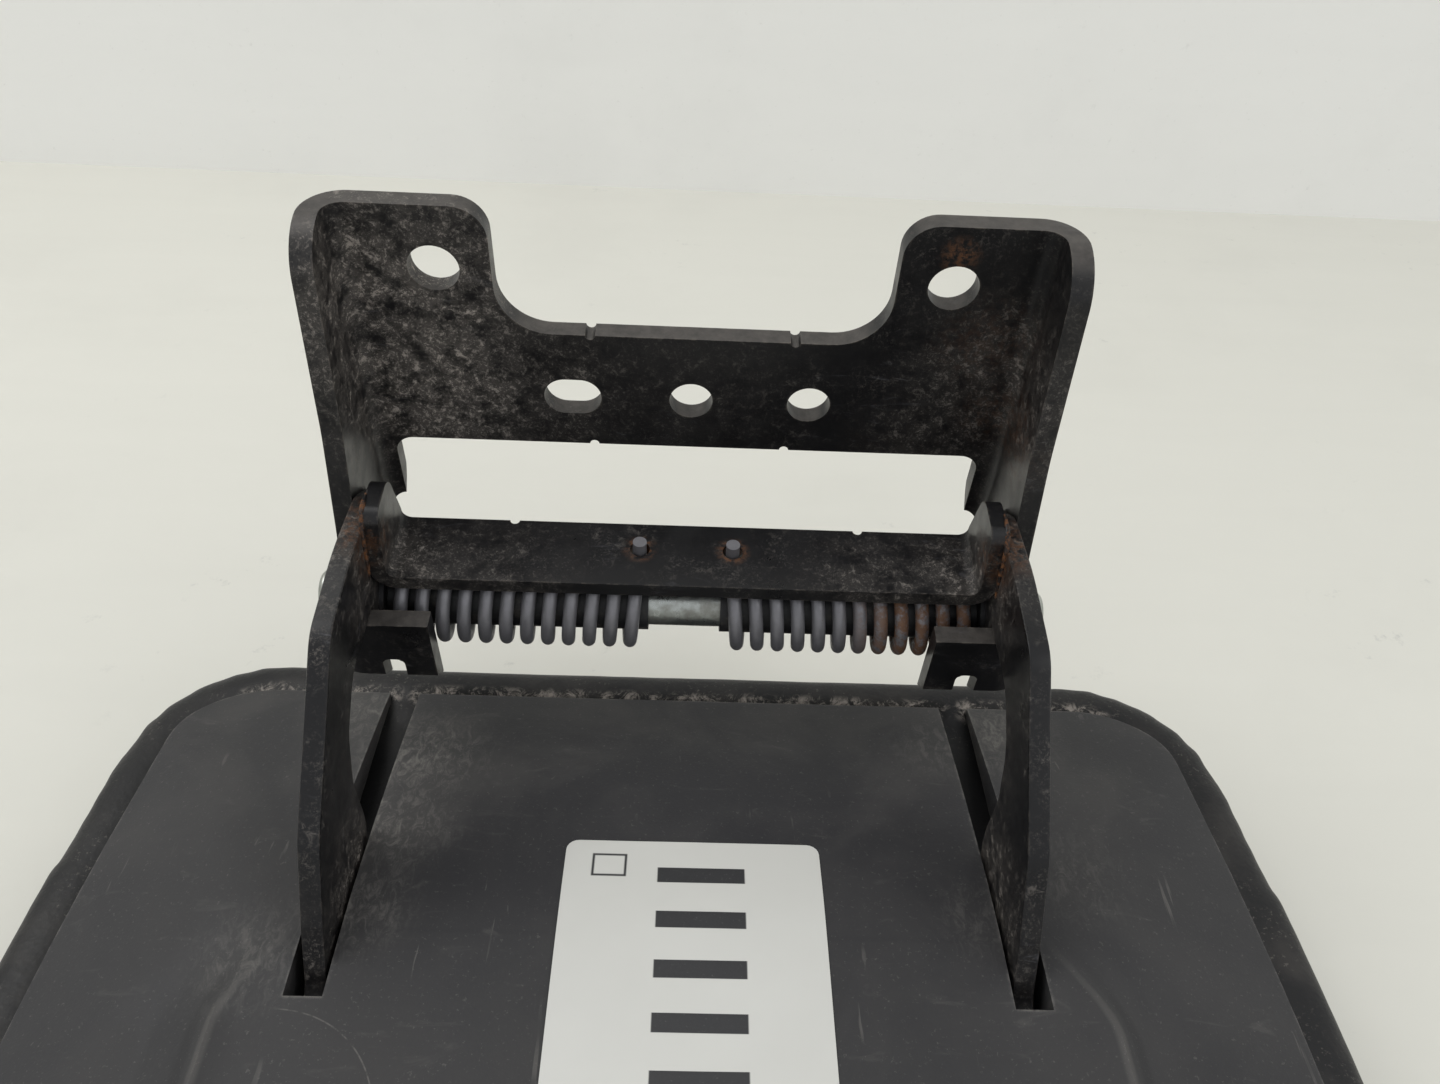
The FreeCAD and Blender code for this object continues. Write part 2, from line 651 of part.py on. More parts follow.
def make_bridge():
    """A plate across the arms with ears turned up, welded to the arms' inner faces."""
    under = d.pivot_v + d.coil_radius + d.wire / 2 + d.bridge_over
    top = under + d.bridge_thick
    ear_top = -d.bridge_ear_top
    ear_in = arm_inner - d.bridge_thick
    outer = d.bridge_bend + d.bridge_thick
    body = new_body("spring_bridge", web_frame)
    section = new_sketch(body, "bridge_section", "XY_Plane", d.bridge_rear)
    draw_outline(section, [
        (-arm_inner, under, outer), (arm_inner, under, outer), (arm_inner, ear_top),
        (ear_in, ear_top), (ear_in, top, d.bridge_bend), (-ear_in, top, d.bridge_bend),
        (-ear_in, ear_top), (-arm_inner, ear_top),
    ])
    pad_up(body, section, d.bridge_front - d.bridge_rear)
    side = new_sketch(body, "bridge_side", "YZ_Plane")
    past = 5
    draw_outline(side, [
        (under - past, d.bridge_rear - past), (ear_top + past, d.bridge_rear - past),
        (ear_top + past, d.bridge_front + past), (under - past, d.bridge_front + past),
    ])
    draw_outline(side, [
        (under - 1, d.bridge_rear), (top + 3, d.bridge_rear, 4), (ear_top, d.bridge_rear + 4.5, 5),
        (ear_top, d.bridge_front - 3, 4), (top + 2, d.bridge_front + 0.5, 8),
        (under - 1, d.bridge_front + 0.5),
    ])
    cut_through(body, side)
    holes = new_sketch(body, "bridge_holes", "XZ_Plane")
    leg_n = d.pivot_n - d.leg_bend
    for side in (-1, 1):
        draw_circle(holes, side * (d.coil_inner_end - 0.3), leg_n, d.bridge_hole_bore)
        draw_circle(holes, side * d.bridge_notch_x, d.bridge_rear, d.notch_bore)
    cut_through(body, holes)


# ---- the seat board, the tie plate and their fasteners ----

board_top = -d.roll_top - d.board_drop
board_under = board_top - d.board_thick
face = -d.roll_top - d.pad_depth
pad_front = d.pad_rear + d.pad_length
flat_frame = Placement()


def pad_outline(inset):
    """The pad's outline from above, moved in by an inset."""
    inset = size(inset)
    rear = -d.pad_rear - inset
    rear_half = d.pad_half_rear - inset
    front_half = d.pad_half_front - inset
    wide = d.pad_half - inset
    widest = -d.pad_rear - d.pad_widest
    front = -pad_front + inset + d.pad_bow
    sweep = d.side_sweep - inset
    near = d.corner_front - inset
    return [
        (-rear_half, rear, d.corner_rear - inset), (-wide, widest, sweep), (-front_half, front, near),
        (0, front - d.pad_bow, d.front_sweep - inset), (front_half, front, near),
        (wide, widest, sweep), (rear_half, rear, d.corner_rear - inset),
    ]


def slab(label, inset, low, high):
    """A slab with the pad's outline, between two heights."""
    return plate_body(label, at(flat_frame, z=low), pad_outline(inset), high - low)


BOLTS = [(sign * d.bolt_x, -place) for sign in (-1, 1) for place in (d.bolt_rear, d.bolt_front)]
tie_half = arm_outer + d.tie_side
SCREW_ROWS = (
    (tie_half + d.screw_past_tie, d.screw_rear),
    (d.screw_side_x, d.screw_side),
    (d.screw_front_x, pad_front - d.screw_front),
)
SCREWS = [(sign * x, -forward) for sign in (-1, 1) for x, forward in SCREW_ROWS]


def stud_holes(name, places, radius, low, high):
    """Upright cylinders at several places, to be cut away or kept."""
    return [
        cylinder(f"{name}_{count}", at(flat_frame, x, y, low), radius, high - low)
        for count, (x, y) in enumerate(places)
    ]


def make_board():
    """A plywood board, bored for the tee nuts and the shell screws."""
    slab("board_blank", d.board_inset, board_under, board_top)
    board = doc.getObject("board_blank")
    under = board_under - 1
    tools = stud_holes("barrel_hole", BOLTS, d.tee_barrel / 2 + d.press, under, board_top + 1)
    tools += stud_holes("flange_hole", BOLTS, d.tee_flange / 2 + 0.1, under, board_under + d.tee_thick)
    tools += stud_holes("screw_hole", SCREWS, d.screw_shank / 2 + d.bolt_slack, under, board_top + 1)
    sink = board_under + d.screw_head_thick + 0.2
    tools += stud_holes("head_hole", SCREWS, d.screw_head / 2 + d.bolt_slack, under, sink)
    minus("seat_board", board, joined("Part::MultiFuse", "board_holes", tools))


def make_tie_plate():
    """A plate on the board that the arms' feet are welded to."""
    rear = -d.tie_rear
    front = -d.foot_front - d.foot_margin
    corners = [
        (-tie_half, front, 8), (tie_half, front, 8), (tie_half, rear, 8), (-tie_half, rear, 8),
    ]
    holes = [(x, y, d.bolt_shank + 2 * d.bolt_slack) for x, y in BOLTS]
    plate_body("arm_tie_plate", at(flat_frame, z=board_top), corners, d.tie_thick, holes)


def make_bolts():
    """Hexagon bolts through the tie plate into the tee nuts."""
    bolts = []
    seat = board_top + d.tie_thick
    for count, (x, y) in enumerate(BOLTS):
        head = doc.addObject("Part::Prism", f"bolt_head_{count}")
        head.Polygon = 6
        bind(head, "Circumradius", d.bolt_flats / 2 * (2 / math.sqrt(3)))
        bind(head, "Height", d.bolt_head)
        head.Placement = at(flat_frame, x, y, seat)
        reach = d.tie_thick + d.board_thick - 0.5
        shank = cylinder(f"bolt_shank_{count}", at(flat_frame, x, y, seat - reach), d.bolt_shank / 2, reach)
        bolts.append(joined("Part::MultiFuse", f"bolt_{count}", [head, shank]))
    joined("Part::Compound", "tie_plate_bolts", bolts)


def make_tee_nuts():
    nuts = []
    for count, (x, y) in enumerate(BOLTS):
        frame = at(flat_frame, x, y, board_under)
        flange = cylinder(f"tee_flange_{count}", frame, d.tee_flange / 2, d.tee_thick)
        barrel = cylinder(f"tee_barrel_{count}", frame, d.tee_barrel / 2, d.tee_length)
        body = joined("Part::MultiFuse", f"tee_solid_{count}", [flange, barrel])
        bore = cylinder(f"tee_bore_{count}", at(frame, z=-1), d.bolt_shank / 2 + d.press, d.tee_length + 2)
        nuts.append(minus(f"tee_nut_{count}", body, bore))
    joined("Part::Compound", "tee_nuts", nuts)


# ---- the back shell ----

shell_inset = d.roll_width + d.shell_gap
skirt = board_top + d.skin + d.soft_gap


def shell_solid(name, wall, low):
    """The shell's outer shape, or its inside when wall is not zero: a shallow hipped roof."""
    wall = size(wall)
    inset = shell_inset + wall
    rim = -d.roll_top - wall
    flat = rim + d.shell_rise
    rear = d.pad_rear + shell_inset
    front = pad_front - shell_inset
    past = 20
    below = low - past
    drop = d.shell_rise * past / d.top_rear
    slope = d.shell_rise * past / d.top_front
    outline = slab(name + "_outline", inset, low, -d.roll_top + d.shell_rise + 5)
    along = plate_body(name + "_along", at(pad_side, z=-d.pad_half), [
        (-rear + past, below), (-rear + past, rim - drop), (-rear - d.top_rear, flat),
        (-front + d.top_front, flat), (-front - past, rim - slope), (-front - past, below),
    ], 2 * d.pad_half)
    half = d.pad_half - shell_inset
    fall = d.shell_rise * past / (half - d.top_half)
    across_frame = Placement(Vector(0, 0, 0), Rotation(Vector(1, 0, 0), 90))
    across = plate_body(name + "_across", across_frame, [
        (-half - past, below), (half + past, below), (half + past, rim - fall),
        (d.top_half, flat), (-d.top_half, flat), (-half - past, rim - fall),
    ], pad_front)
    return joined("Part::MultiCommon", name, [outline, along, across])


def make_shell():
    """A moulded back shell with two grooves that the arms go in through."""
    outer = shell_solid("shell_outer", 0, skirt)
    inner = shell_solid("shell_inner", d.shell_wall, skirt - 2)
    skin = minus("shell_skin", outer, inner)
    floor = board_top + d.tie_thick + 0.3
    top = -d.roll_top + d.shell_rise + 4
    rear = -d.pad_rear - shell_inset + 1
    walls, slots = [], []
    for name, sign in (("left", -1), ("right", 1)):
        near = sign * (arm_inner - d.groove_inside)
        far = sign * (arm_outer + d.groove_outside)
        low_x, high_x = (near, far) if sign > 0 else (far, near)
        end = -d.groove_end
        margin = d.groove_wall
        low = (low_x - margin, end, floor)
        walls.append(box("liner_" + name, low, (high_x + margin, rear, top)))
        slots.append(box("slot_" + name, (low_x, end, skirt - 5), (high_x, rear + 5, top + 1)))
    bosses = stud_holes("boss", SCREWS, d.boss / 2, board_top + 0.1, -d.roll_top + d.shell_rise)
    solid_again = shell_solid("shell_clip", 0, board_top + 0.05)
    inside = joined("Part::MultiFuse", "shell_ribs", walls + bosses)
    ribs = joined("Part::MultiCommon", "shell_ribs_clipped", [solid_again, inside])
    whole = joined("Part::MultiFuse", "shell_whole", [skin, ribs])
    pilots = stud_holes("pilot", SCREWS, d.screw_shank / 2 + 0.05, board_top - 1, -d.roll_top + 4)
    minus("back_shell", whole, joined("Part::MultiFuse", "shell_cuts", slots + pilots))


def make_screws():
    """Pan-head screws up through the board into the shell's bosses."""
    screws = []
    for count, (x, y) in enumerate(SCREWS):
        frame = at(flat_frame, x, y, board_under + 0.1)
        head = cylinder(f"screw_head_{count}", frame, d.screw_head / 2, d.screw_head_thick)
        shank = cylinder(f"screw_shank_{count}", frame, d.screw_shank / 2, d.screw_length)
        screws.append(joined("Part::MultiFuse", f"screw_{count}", [head, shank]))
    joined("Part::Compound", "shell_screws", screws)


# ---- the cushion ----

def rounded_slab(label, inset, low, high, radius):
    """A slab with the pad's outline, its lower edge rounded."""
    body = slab(label, inset, low, high)
    pad = body.Tip
    edges = [
        f"Edge{index}" for index, edge in enumerate(pad.Shape.Edges, 1)
        if abs(edge.BoundBox.ZMax - pad.Shape.BoundBox.ZMin) < 0.01
    ]
    rounding = body.newObject("PartDesign::Fillet", label + "_round")
    rounding.Base = (pad, edges)
    bind(rounding, "Radius", radius)
    doc.recompute()
    return body


def make_cushion():
    """Foam round the board, in a cover that rolls over its edge and tucks in under the shell."""
    lining = d.skin + d.soft_gap
    outside = rounded_slab("cover_outside", 0, face, -d.roll_top, d.face_round)
    hollow = rounded_slab("cover_hollow", d.skin, face + d.skin, board_top + d.soft_gap / 2,
                          d.face_round - d.skin)
    recess = slab("cover_recess", d.roll_width, board_top + d.skin, -d.roll_top + 1)
    opening = slab("cover_opening", d.tuck, board_top - 1, board_top + d.skin + 1)
    minus("cushion_cover", outside, joined("Part::MultiFuse", "cover_cuts", [hollow, recess, opening]))

    foam = rounded_slab("foam_block", lining, face + lining, board_top, d.face_round - lining)
    room = slab("board_room", d.board_inset - d.soft_gap, board_under, board_top + 1)
    minus("cushion_foam", foam, room)


def edge_places(inset, pitch):
    """Evenly spaced places round the pad's outline at an inset, each with its direction."""
    body = slab("staple_line", inset, -1, 0)
    top = [item for item in body.Shape.Faces if item.normalAt(0, 0).z > 0.9][0]
    wire = top.OuterWire
    count = int(wire.Length / size(pitch).value)
    points = wire.discretize(Number=count + 1)[:-1]
    ahead = wire.discretize(Number=40 * count + 1)[1::40]
    return [(point, (near - point).normalize()) for point, near in zip(points, ahead)]


def make_staples():
    """Wire staples that hold the tucked cover to the board, beside the grooves' walls."""
    wire = d.staple_wire.value
    crown = d.staple_crown.value
    leg = d.staple_leg.value
    high = (board_top + d.skin + 0.05).value + wire
    staples = []
    for point, way in edge_places(d.staple_inset, d.staple_pitch):
        frame = Placement(Vector(point.x, point.y, high), Rotation(Vector(1, 0, 0), way))
        crown_bar = Part.makeBox(crown, wire, wire, Vector(-crown / 2, -wire / 2, -wire))
        bars = [Part.makeBox(wire, wire, leg, Vector(x, -wire / 2, -leg))
                for x in (-crown / 2, crown / 2 - wire)]
        staple = crown_bar.multiFuse(bars).removeSplitter()
        staple.Placement = frame
        staples.append(staple.Solids[0])
    feature = doc.addObject("Part::Feature", "cover_staples")
    feature.Shape = Part.makeCompound(staples)


# ---- the label on the shell ----

def make_label():
    """A paper label that follows the shell over the crease."""
    rim = -d.roll_top
    rear = d.pad_rear + shell_inset
    crease = rear + d.top_rear
    flat = rim + d.shell_rise + d.label_gap
    slope = d.shell_rise / d.top_rear
    start = flat - slope * (crease - d.label_rear)
    end = d.label_rear + d.label_length
    thick = d.label_thick
    plate_body("stock_label", at(pad_side, z=-d.label_left), [
        (-d.label_rear, start), (-d.label_rear, start + thick), (-crease, flat + thick),
        (-end, flat + thick), (-end, flat), (-crease, flat),
    ], d.label_width)


NODES = [
    "mounting_bracket", "pivot_shaft", "shaft_washers", "shaft_retaining_rings",
    "spring_sleeve_left", "spring_sleeve_right", "torsion_spring_left", "torsion_spring_right",
    "left_arm", "right_arm", "left_bush", "right_bush", "spring_bridge", "arm_tie_plate",
    "tie_plate_bolts", "tee_nuts", "back_shell", "shell_screws", "seat_board", "cushion_foam",
    "cushion_cover", "cover_staples", "stock_label",
]


def export_nodes():
    """Writes each sub-part to its own file, once every object is sound."""
    doc.recompute()
    for item in doc.Objects:
        if "Invalid" in item.State or "Error" in item.State:
            raise ValueError(f"{item.Label} failed: {item.State}")
    nodes = [doc.getObjectsByLabel(name)[0] for name in NODES]
    for node in nodes:
        if node.Shape.isNull() or not node.Shape.isValid():
            raise ValueError(f"{node.Label} has no valid shape")
    os.makedirs("parts", exist_ok=True)
    for node in nodes:
        node.Shape.exportStep(f"parts/{node.Label}.step")
        print(node.Label, len(node.Shape.Solids), "solids", round(node.Shape.Volume), "mm3")


make_bracket()
make_shaft()
make_washers()
make_rings()
make_sleeves()
make_springs()
make_arms()
make_bushes()
make_bridge()
make_board()
make_tie_plate()
make_bolts()
make_tee_nuts()
make_shell()
make_screws()
make_cushion()
make_staples()
make_label()
export_nodes()
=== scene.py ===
"""A sprung tip-up seat pad lying cushion down on a pale bench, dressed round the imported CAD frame."""

import json
import math

import bmesh
import bpy
from mathutils import Euler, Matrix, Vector, noise
from mathutils.kdtree import KDTree


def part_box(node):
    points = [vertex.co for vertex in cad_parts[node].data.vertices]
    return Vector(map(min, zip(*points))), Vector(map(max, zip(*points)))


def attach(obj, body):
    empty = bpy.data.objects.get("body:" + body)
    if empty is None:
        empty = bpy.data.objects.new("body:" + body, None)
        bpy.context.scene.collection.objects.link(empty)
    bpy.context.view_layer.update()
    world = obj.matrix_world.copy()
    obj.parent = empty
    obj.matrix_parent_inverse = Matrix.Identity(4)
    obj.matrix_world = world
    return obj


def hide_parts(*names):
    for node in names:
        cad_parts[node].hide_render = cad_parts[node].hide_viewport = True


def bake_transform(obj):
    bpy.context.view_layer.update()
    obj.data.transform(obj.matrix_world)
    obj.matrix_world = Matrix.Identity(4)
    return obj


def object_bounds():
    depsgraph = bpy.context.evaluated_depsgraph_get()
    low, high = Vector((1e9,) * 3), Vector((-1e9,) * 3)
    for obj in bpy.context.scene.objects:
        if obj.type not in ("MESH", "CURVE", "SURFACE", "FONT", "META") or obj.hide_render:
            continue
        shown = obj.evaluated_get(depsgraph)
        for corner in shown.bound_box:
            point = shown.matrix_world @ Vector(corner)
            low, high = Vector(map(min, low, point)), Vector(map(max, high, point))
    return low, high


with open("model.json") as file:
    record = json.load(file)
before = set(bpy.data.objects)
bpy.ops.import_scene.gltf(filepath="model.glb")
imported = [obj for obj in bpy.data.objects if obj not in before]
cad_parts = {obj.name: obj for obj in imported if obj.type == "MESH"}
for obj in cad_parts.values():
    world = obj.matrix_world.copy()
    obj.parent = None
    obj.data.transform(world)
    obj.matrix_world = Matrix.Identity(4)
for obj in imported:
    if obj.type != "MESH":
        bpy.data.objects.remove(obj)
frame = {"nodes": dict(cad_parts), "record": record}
cad_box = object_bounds()

MM = 0.001
LEAN = math.radians(7.0)
MIRROR = (-1, 1)


def at(x, up, out):
    """A point given in the bracket's own directions, in mm: across, up its web, and out from its face."""
    return Vector((
        x * MM,
        (-math.sin(LEAN) * up - math.cos(LEAN) * out) * MM,
        (math.cos(LEAN) * up - math.sin(LEAN) * out) * MM,
    ))


# ---- materials ----

class Finish:
    """One procedural material. Each method adds a node and gives back its output."""

    def __init__(self, name, roughness, metallic=0.0, specular=0.5):
        self.material = bpy.data.materials.new(name)
        self.material.use_nodes = True
        self.tree = self.material.node_tree
        self.shader = self.tree.nodes["Principled BSDF"]
        self.shader.inputs["Roughness"].default_value = roughness
        self.shader.inputs["Metallic"].default_value = metallic
        self.shader.inputs["Specular IOR Level"].default_value = specular
        self.place = self.add("ShaderNodeTexCoord").outputs["Object"]
        self.split = None

    def add(self, kind, **settings):
        node = self.tree.nodes.new(kind)
        for key, value in settings.items():
            setattr(node, key, value)
        return node

    def feed(self, socket, value):
        if isinstance(value, bpy.types.NodeSocket):
            self.tree.links.new(value, socket)
        else:
            socket.default_value = value

    def axis(self, index):
        if self.split is None:
            self.split = self.add("ShaderNodeSeparateXYZ")
            self.feed(self.split.inputs[0], self.place)
        return self.split.outputs[index]

    def stretched(self, scale):
        node = self.add("ShaderNodeMapping")
        self.feed(node.inputs["Vector"], self.place)
        node.inputs["Scale"].default_value = scale
        return node.outputs[0]

    def noise(self, size, detail=4.0, rough=0.6, stretch=None, twist=0.0):
        """Noise whose blotches are about size mm across."""
        node = self.add("ShaderNodeTexNoise")
        self.feed(node.inputs["Vector"], self.stretched(stretch) if stretch else self.place)
        node.inputs["Scale"].default_value = 1 / (size * MM)
        node.inputs["Detail"].default_value = detail
        node.inputs["Roughness"].default_value = rough
        node.inputs["Distortion"].default_value = twist
        return node.outputs[0]

    def cells(self, size, feature="F1"):
        node = self.add("ShaderNodeTexVoronoi", feature=feature)
        self.feed(node.inputs["Vector"], self.place)
        node.inputs["Scale"].default_value = 1 / (size * MM)
        return node.outputs[0]

    def calc(self, operation, first, second=0.0, third=0.0):
        node = self.add("ShaderNodeMath", operation=operation)
        for socket, value in zip(node.inputs, (first, second, third)):
            self.feed(socket, value)
        return node.outputs[0]

    def span(self, value, low, high, start=0.0, stop=1.0):
        node = self.add("ShaderNodeMapRange", interpolation_type="SMOOTHSTEP")
        for socket, entry in zip(node.inputs, (value, low, high, start, stop)):
            self.feed(socket, entry)
        return node.outputs[0]

    def fall(self, value, low, high):
        return self.span(value, low, high, 1.0, 0.0)

    def apart(self, value, level):
        """How far a value is from a level, whichever side it is on."""
        return self.calc("ABSOLUTE", self.calc("SUBTRACT", value, level))

    def times(self, *values):
        out = values[0]
        for value in values[1:]:
            out = self.calc("MULTIPLY", out, value)
        return out

    def most(self, *values):
        out = values[0]
        for value in values[1:]:
            out = self.calc("MAXIMUM", out, value)
        return out

    def mix(self, amount, first, second):
        node = self.add("ShaderNodeMix", data_type="RGBA")
        self.feed(node.inputs[0], amount)
        for socket, value in ((node.inputs[6], first), (node.inputs[7], second)):
            self.feed(socket, (*value, 1) if isinstance(value, tuple) else value)
        return node.outputs[2]

    def spot(self, centre, reach, soft=0.5):
        """1 near a point, falling to 0 at its reach in metres."""
        node = self.add("ShaderNodeVectorMath", operation="DISTANCE")
        self.feed(node.inputs[0], self.place)
        node.inputs[1].default_value = centre
        return self.fall(node.outputs["Value"], reach * (1 - soft), reach)

    def patches(self, spots, soft, broken=1.0):
        """The strongest of several spots (centre, reach, strength), broken up by a mask."""
        out = 0.0
        for centre, reach, strength in spots:
            out = self.most(out, self.times(self.spot(centre, reach, soft), broken, strength))
        return out

    def within(self, index, low, high, soft):
        """1 between two places along an axis."""
        rise = self.span(self.axis(index), low - soft, low + soft)
        return self.times(rise, self.fall(self.axis(index), high - soft, high + soft))

    def arc(self, centre, radius, width, left, front):
        """1 along a fine arc seen from above: the part right of one X and behind one Y."""
        along = self.calc("SUBTRACT", self.axis(0), centre[0])
        across = self.calc("SUBTRACT", self.axis(1), centre[1])
        reach = self.calc("SQRT", self.calc("ADD", self.times(along, along), self.times(across, across)))
        line = self.fall(self.apart(reach, radius), 0.3 * width, width)
        fade = 0.004
        to_right = self.span(self.axis(0), left, left + fade)
        to_rear = self.span(self.axis(1), front, front + fade)
        return self.times(line, to_right, to_rear)

    def edges(self, radius, low=0.86, high=0.985):
        """1 on sharp outer and inner edges, from the angle that rounding them would turn the surface by."""
        rounded = self.add("ShaderNodeBevel", samples=6)
        rounded.inputs["Radius"].default_value = radius
        geometry = self.add("ShaderNodeNewGeometry")
        turn = self.add("ShaderNodeVectorMath", operation="DOT_PRODUCT")
        self.feed(turn.inputs[0], rounded.outputs[0])
        self.feed(turn.inputs[1], geometry.outputs["Normal"])
        return self.fall(turn.outputs["Value"], low, high)

    def bump(self, height, strength, depth, over=None):
        node = self.add("ShaderNodeBump")
        node.inputs["Strength"].default_value = strength
        node.inputs["Distance"].default_value = depth * MM
        self.feed(node.inputs["Height"], height)
        if over is not None:
            self.feed(node.inputs["Normal"], over)
        return node.outputs[0]

    def finish(self, colour, roughness=None, normal=None, metallic=None):
        self.feed(self.shader.inputs["Base Color"], colour)
        if roughness is not None:
            self.feed(self.shader.inputs["Roughness"], roughness)
        if metallic is not None:
            self.feed(self.shader.inputs["Metallic"], metallic)
        if normal is not None:
            self.feed(self.shader.inputs["Normal"], normal)
        return self.material


DUST = (0.38, 0.34, 0.30)
# pale dust colour, also used for the painted highlights on the shell
PALE_DUST_AND_HIGHLIGHT = (0.33, 0.31, 0.28)
RUST = (0.17, 0.07, 0.026)
PAINT_TONES = (0.0042, 0.0042, 0.0048), (0.0085, 0.0083, 0.009)
PAINT_SWIRL = (0.062, 0.062, 0.068)
BARE_EDGE = (0.11, 0.095, 0.08)
WIRE_TONES = (0.145, 0.143, 0.152), (0.25, 0.247, 0.262)
WIRE_BROWNS = (0.075, 0.034, 0.016), (0.20, 0.10, 0.05)
SHELL_TONES = (0.0265, 0.0262, 0.0275), (0.034, 0.0335, 0.035)
SHELL_GRAIN = (0.044, 0.0435, 0.0445)
# colour of the painted shade on the shell's rear slope
SHELL_PAINTED_SHADE = (0.020, 0.020, 0.023)
VINYL_TONES = (0.0065, 0.0065, 0.0072), (0.0115, 0.0115, 0.0122)


def black_paint(name, dusty=(), rusty=(), level=0.12, film_on_top=0.0):
    """Glossy black paint with settled dust, drag marks, rubbed edges and a little rust."""
    f = Finish(name, 0.36, 0.0, 0.32)
    fine = f.span(f.noise(0.7, 5, 0.78), 0.54, 0.66)
    coarse = f.span(f.noise(2.2, 7, 0.8, None, 0.5), 0.52, 0.64)
    cloud = f.span(f.noise(14, 5, 0.62), 0.42, 0.66)
    specks = f.most(f.times(fine, 0.8), coarse)
    dust = f.times(cloud, specks, level)
    film = f.calc("ADD", 0.14, f.times(specks, 0.8))
    drift = f.times(f.span(f.noise(5, 6, 0.72), 0.32, 0.64), film)
    dust = f.most(dust, f.patches(dusty, 0.9, drift))
    if film_on_top:
        facing = f.add("ShaderNodeSeparateXYZ")
        f.feed(facing.inputs[0], f.add("ShaderNodeTexCoord").outputs["Normal"])
        lying = f.span(facing.outputs[2], 0.55, 0.9)
        uneven = f.span(f.noise(3, 6, 0.7), 0.2, 0.8, 0.4, 1.0)
        dust = f.most(dust, f.times(lying, uneven, film_on_top))
    dragged = f.span(f.noise(6, 6, 0.7, (0.35, 1.0, 1.8), 1.6), 0.56, 0.70)
    swirl = f.times(dragged, f.span(f.noise(30, 2), 0.46, 0.66), 0.7)
    chips = f.times(f.edges(0.0009), f.span(f.noise(3.0, 5, 0.72), 0.46, 0.62), 0.6)
    pitted = f.span(f.noise(1.8, 6, 0.75), 0.42, 0.62)
    rust = f.most(f.span(f.noise(1.7, 5, 0.7), 0.77, 0.82), f.patches(rusty, 0.8, pitted))
    tone = f.mix(f.noise(30, 3), *PAINT_TONES)
    colour = f.mix(swirl, tone, PAINT_SWIRL)
    colour = f.mix(chips, colour, BARE_EDGE)
    colour = f.mix(dust, colour, DUST)
    colour = f.mix(rust, colour, RUST)
    gloss = f.span(f.noise(9, 4), 0.3, 0.7, 0.27, 0.42)
    rough = f.calc("ADD", gloss, f.times(f.most(dust, rust, chips), 0.6))
    peel = f.bump(f.noise(1.1, 2), 0.10, 0.12)
    grit = f.bump(f.most(dust, rust), 0.5, 0.15, peel)
    return f.finish(colour, rough, grit)


def zinc(name, tint=(0.42, 0.44, 0.42)):
    """Bright zinc plate with turning marks and dull patches."""
    f = Finish(name, 0.35, 1.0)
    marks = f.noise(0.35, 3, 0.6, (4.0, 0.4, 0.4))
    dull = f.span(f.noise(6, 5, 0.65), 0.4, 0.7)
    colour = f.mix(dull, tint, (0.3, 0.3, 0.27))
    stain = f.span(f.noise(2.2, 6, 0.7), 0.62, 0.72, 0, 0.7)
    colour = f.mix(stain, colour, (0.12, 0.085, 0.055))
    rough = f.span(f.calc("ADD", marks, dull), 0.4, 1.4, 0.26, 0.52)
    return f.finish(colour, rough, f.bump(marks, 0.2, 0.05))


def spring_steel(name, rusty=()):
    """Dark drawn wire with a violet bloom, and rust where it is stated."""
    f = Finish(name, 0.42, 0.55)
    bloom = f.noise(5, 4)
    scale = f.noise(0.8, 5, 0.7)
    pitted = f.span(f.noise(2.6, 6, 0.7), 0.36, 0.55)
    rust = f.most(f.span(scale, 0.66, 0.74, 0, 0.7), f.patches(rusty, 0.45, pitted))
    colour = f.mix(rust, f.mix(bloom, *WIRE_TONES), f.mix(f.noise(1.4, 4), *WIRE_BROWNS))
    rough = f.calc("ADD", f.times(rust, 0.35), f.span(scale, 0.3, 0.7, 0.34, 0.52))
    crust = f.bump(f.calc("ADD", scale, rust), 0.35, 0.1)
    return f.finish(colour, rough, crust, f.calc("SUBTRACT", 0.55, f.times(rust, 0.5)))


def black_nylon():
    f = Finish("black_nylon", 0.5)
    grain = f.noise(0.5, 4)
    grime = f.span(f.noise(5, 6, 0.7), 0.5, 0.72)
    colour = f.mix(grime, (0.011, 0.011, 0.012), (0.06, 0.052, 0.042))
    return f.finish(colour, f.span(grain, 0.2, 0.8, 0.42, 0.62), f.bump(grain, 0.3, 0.08))


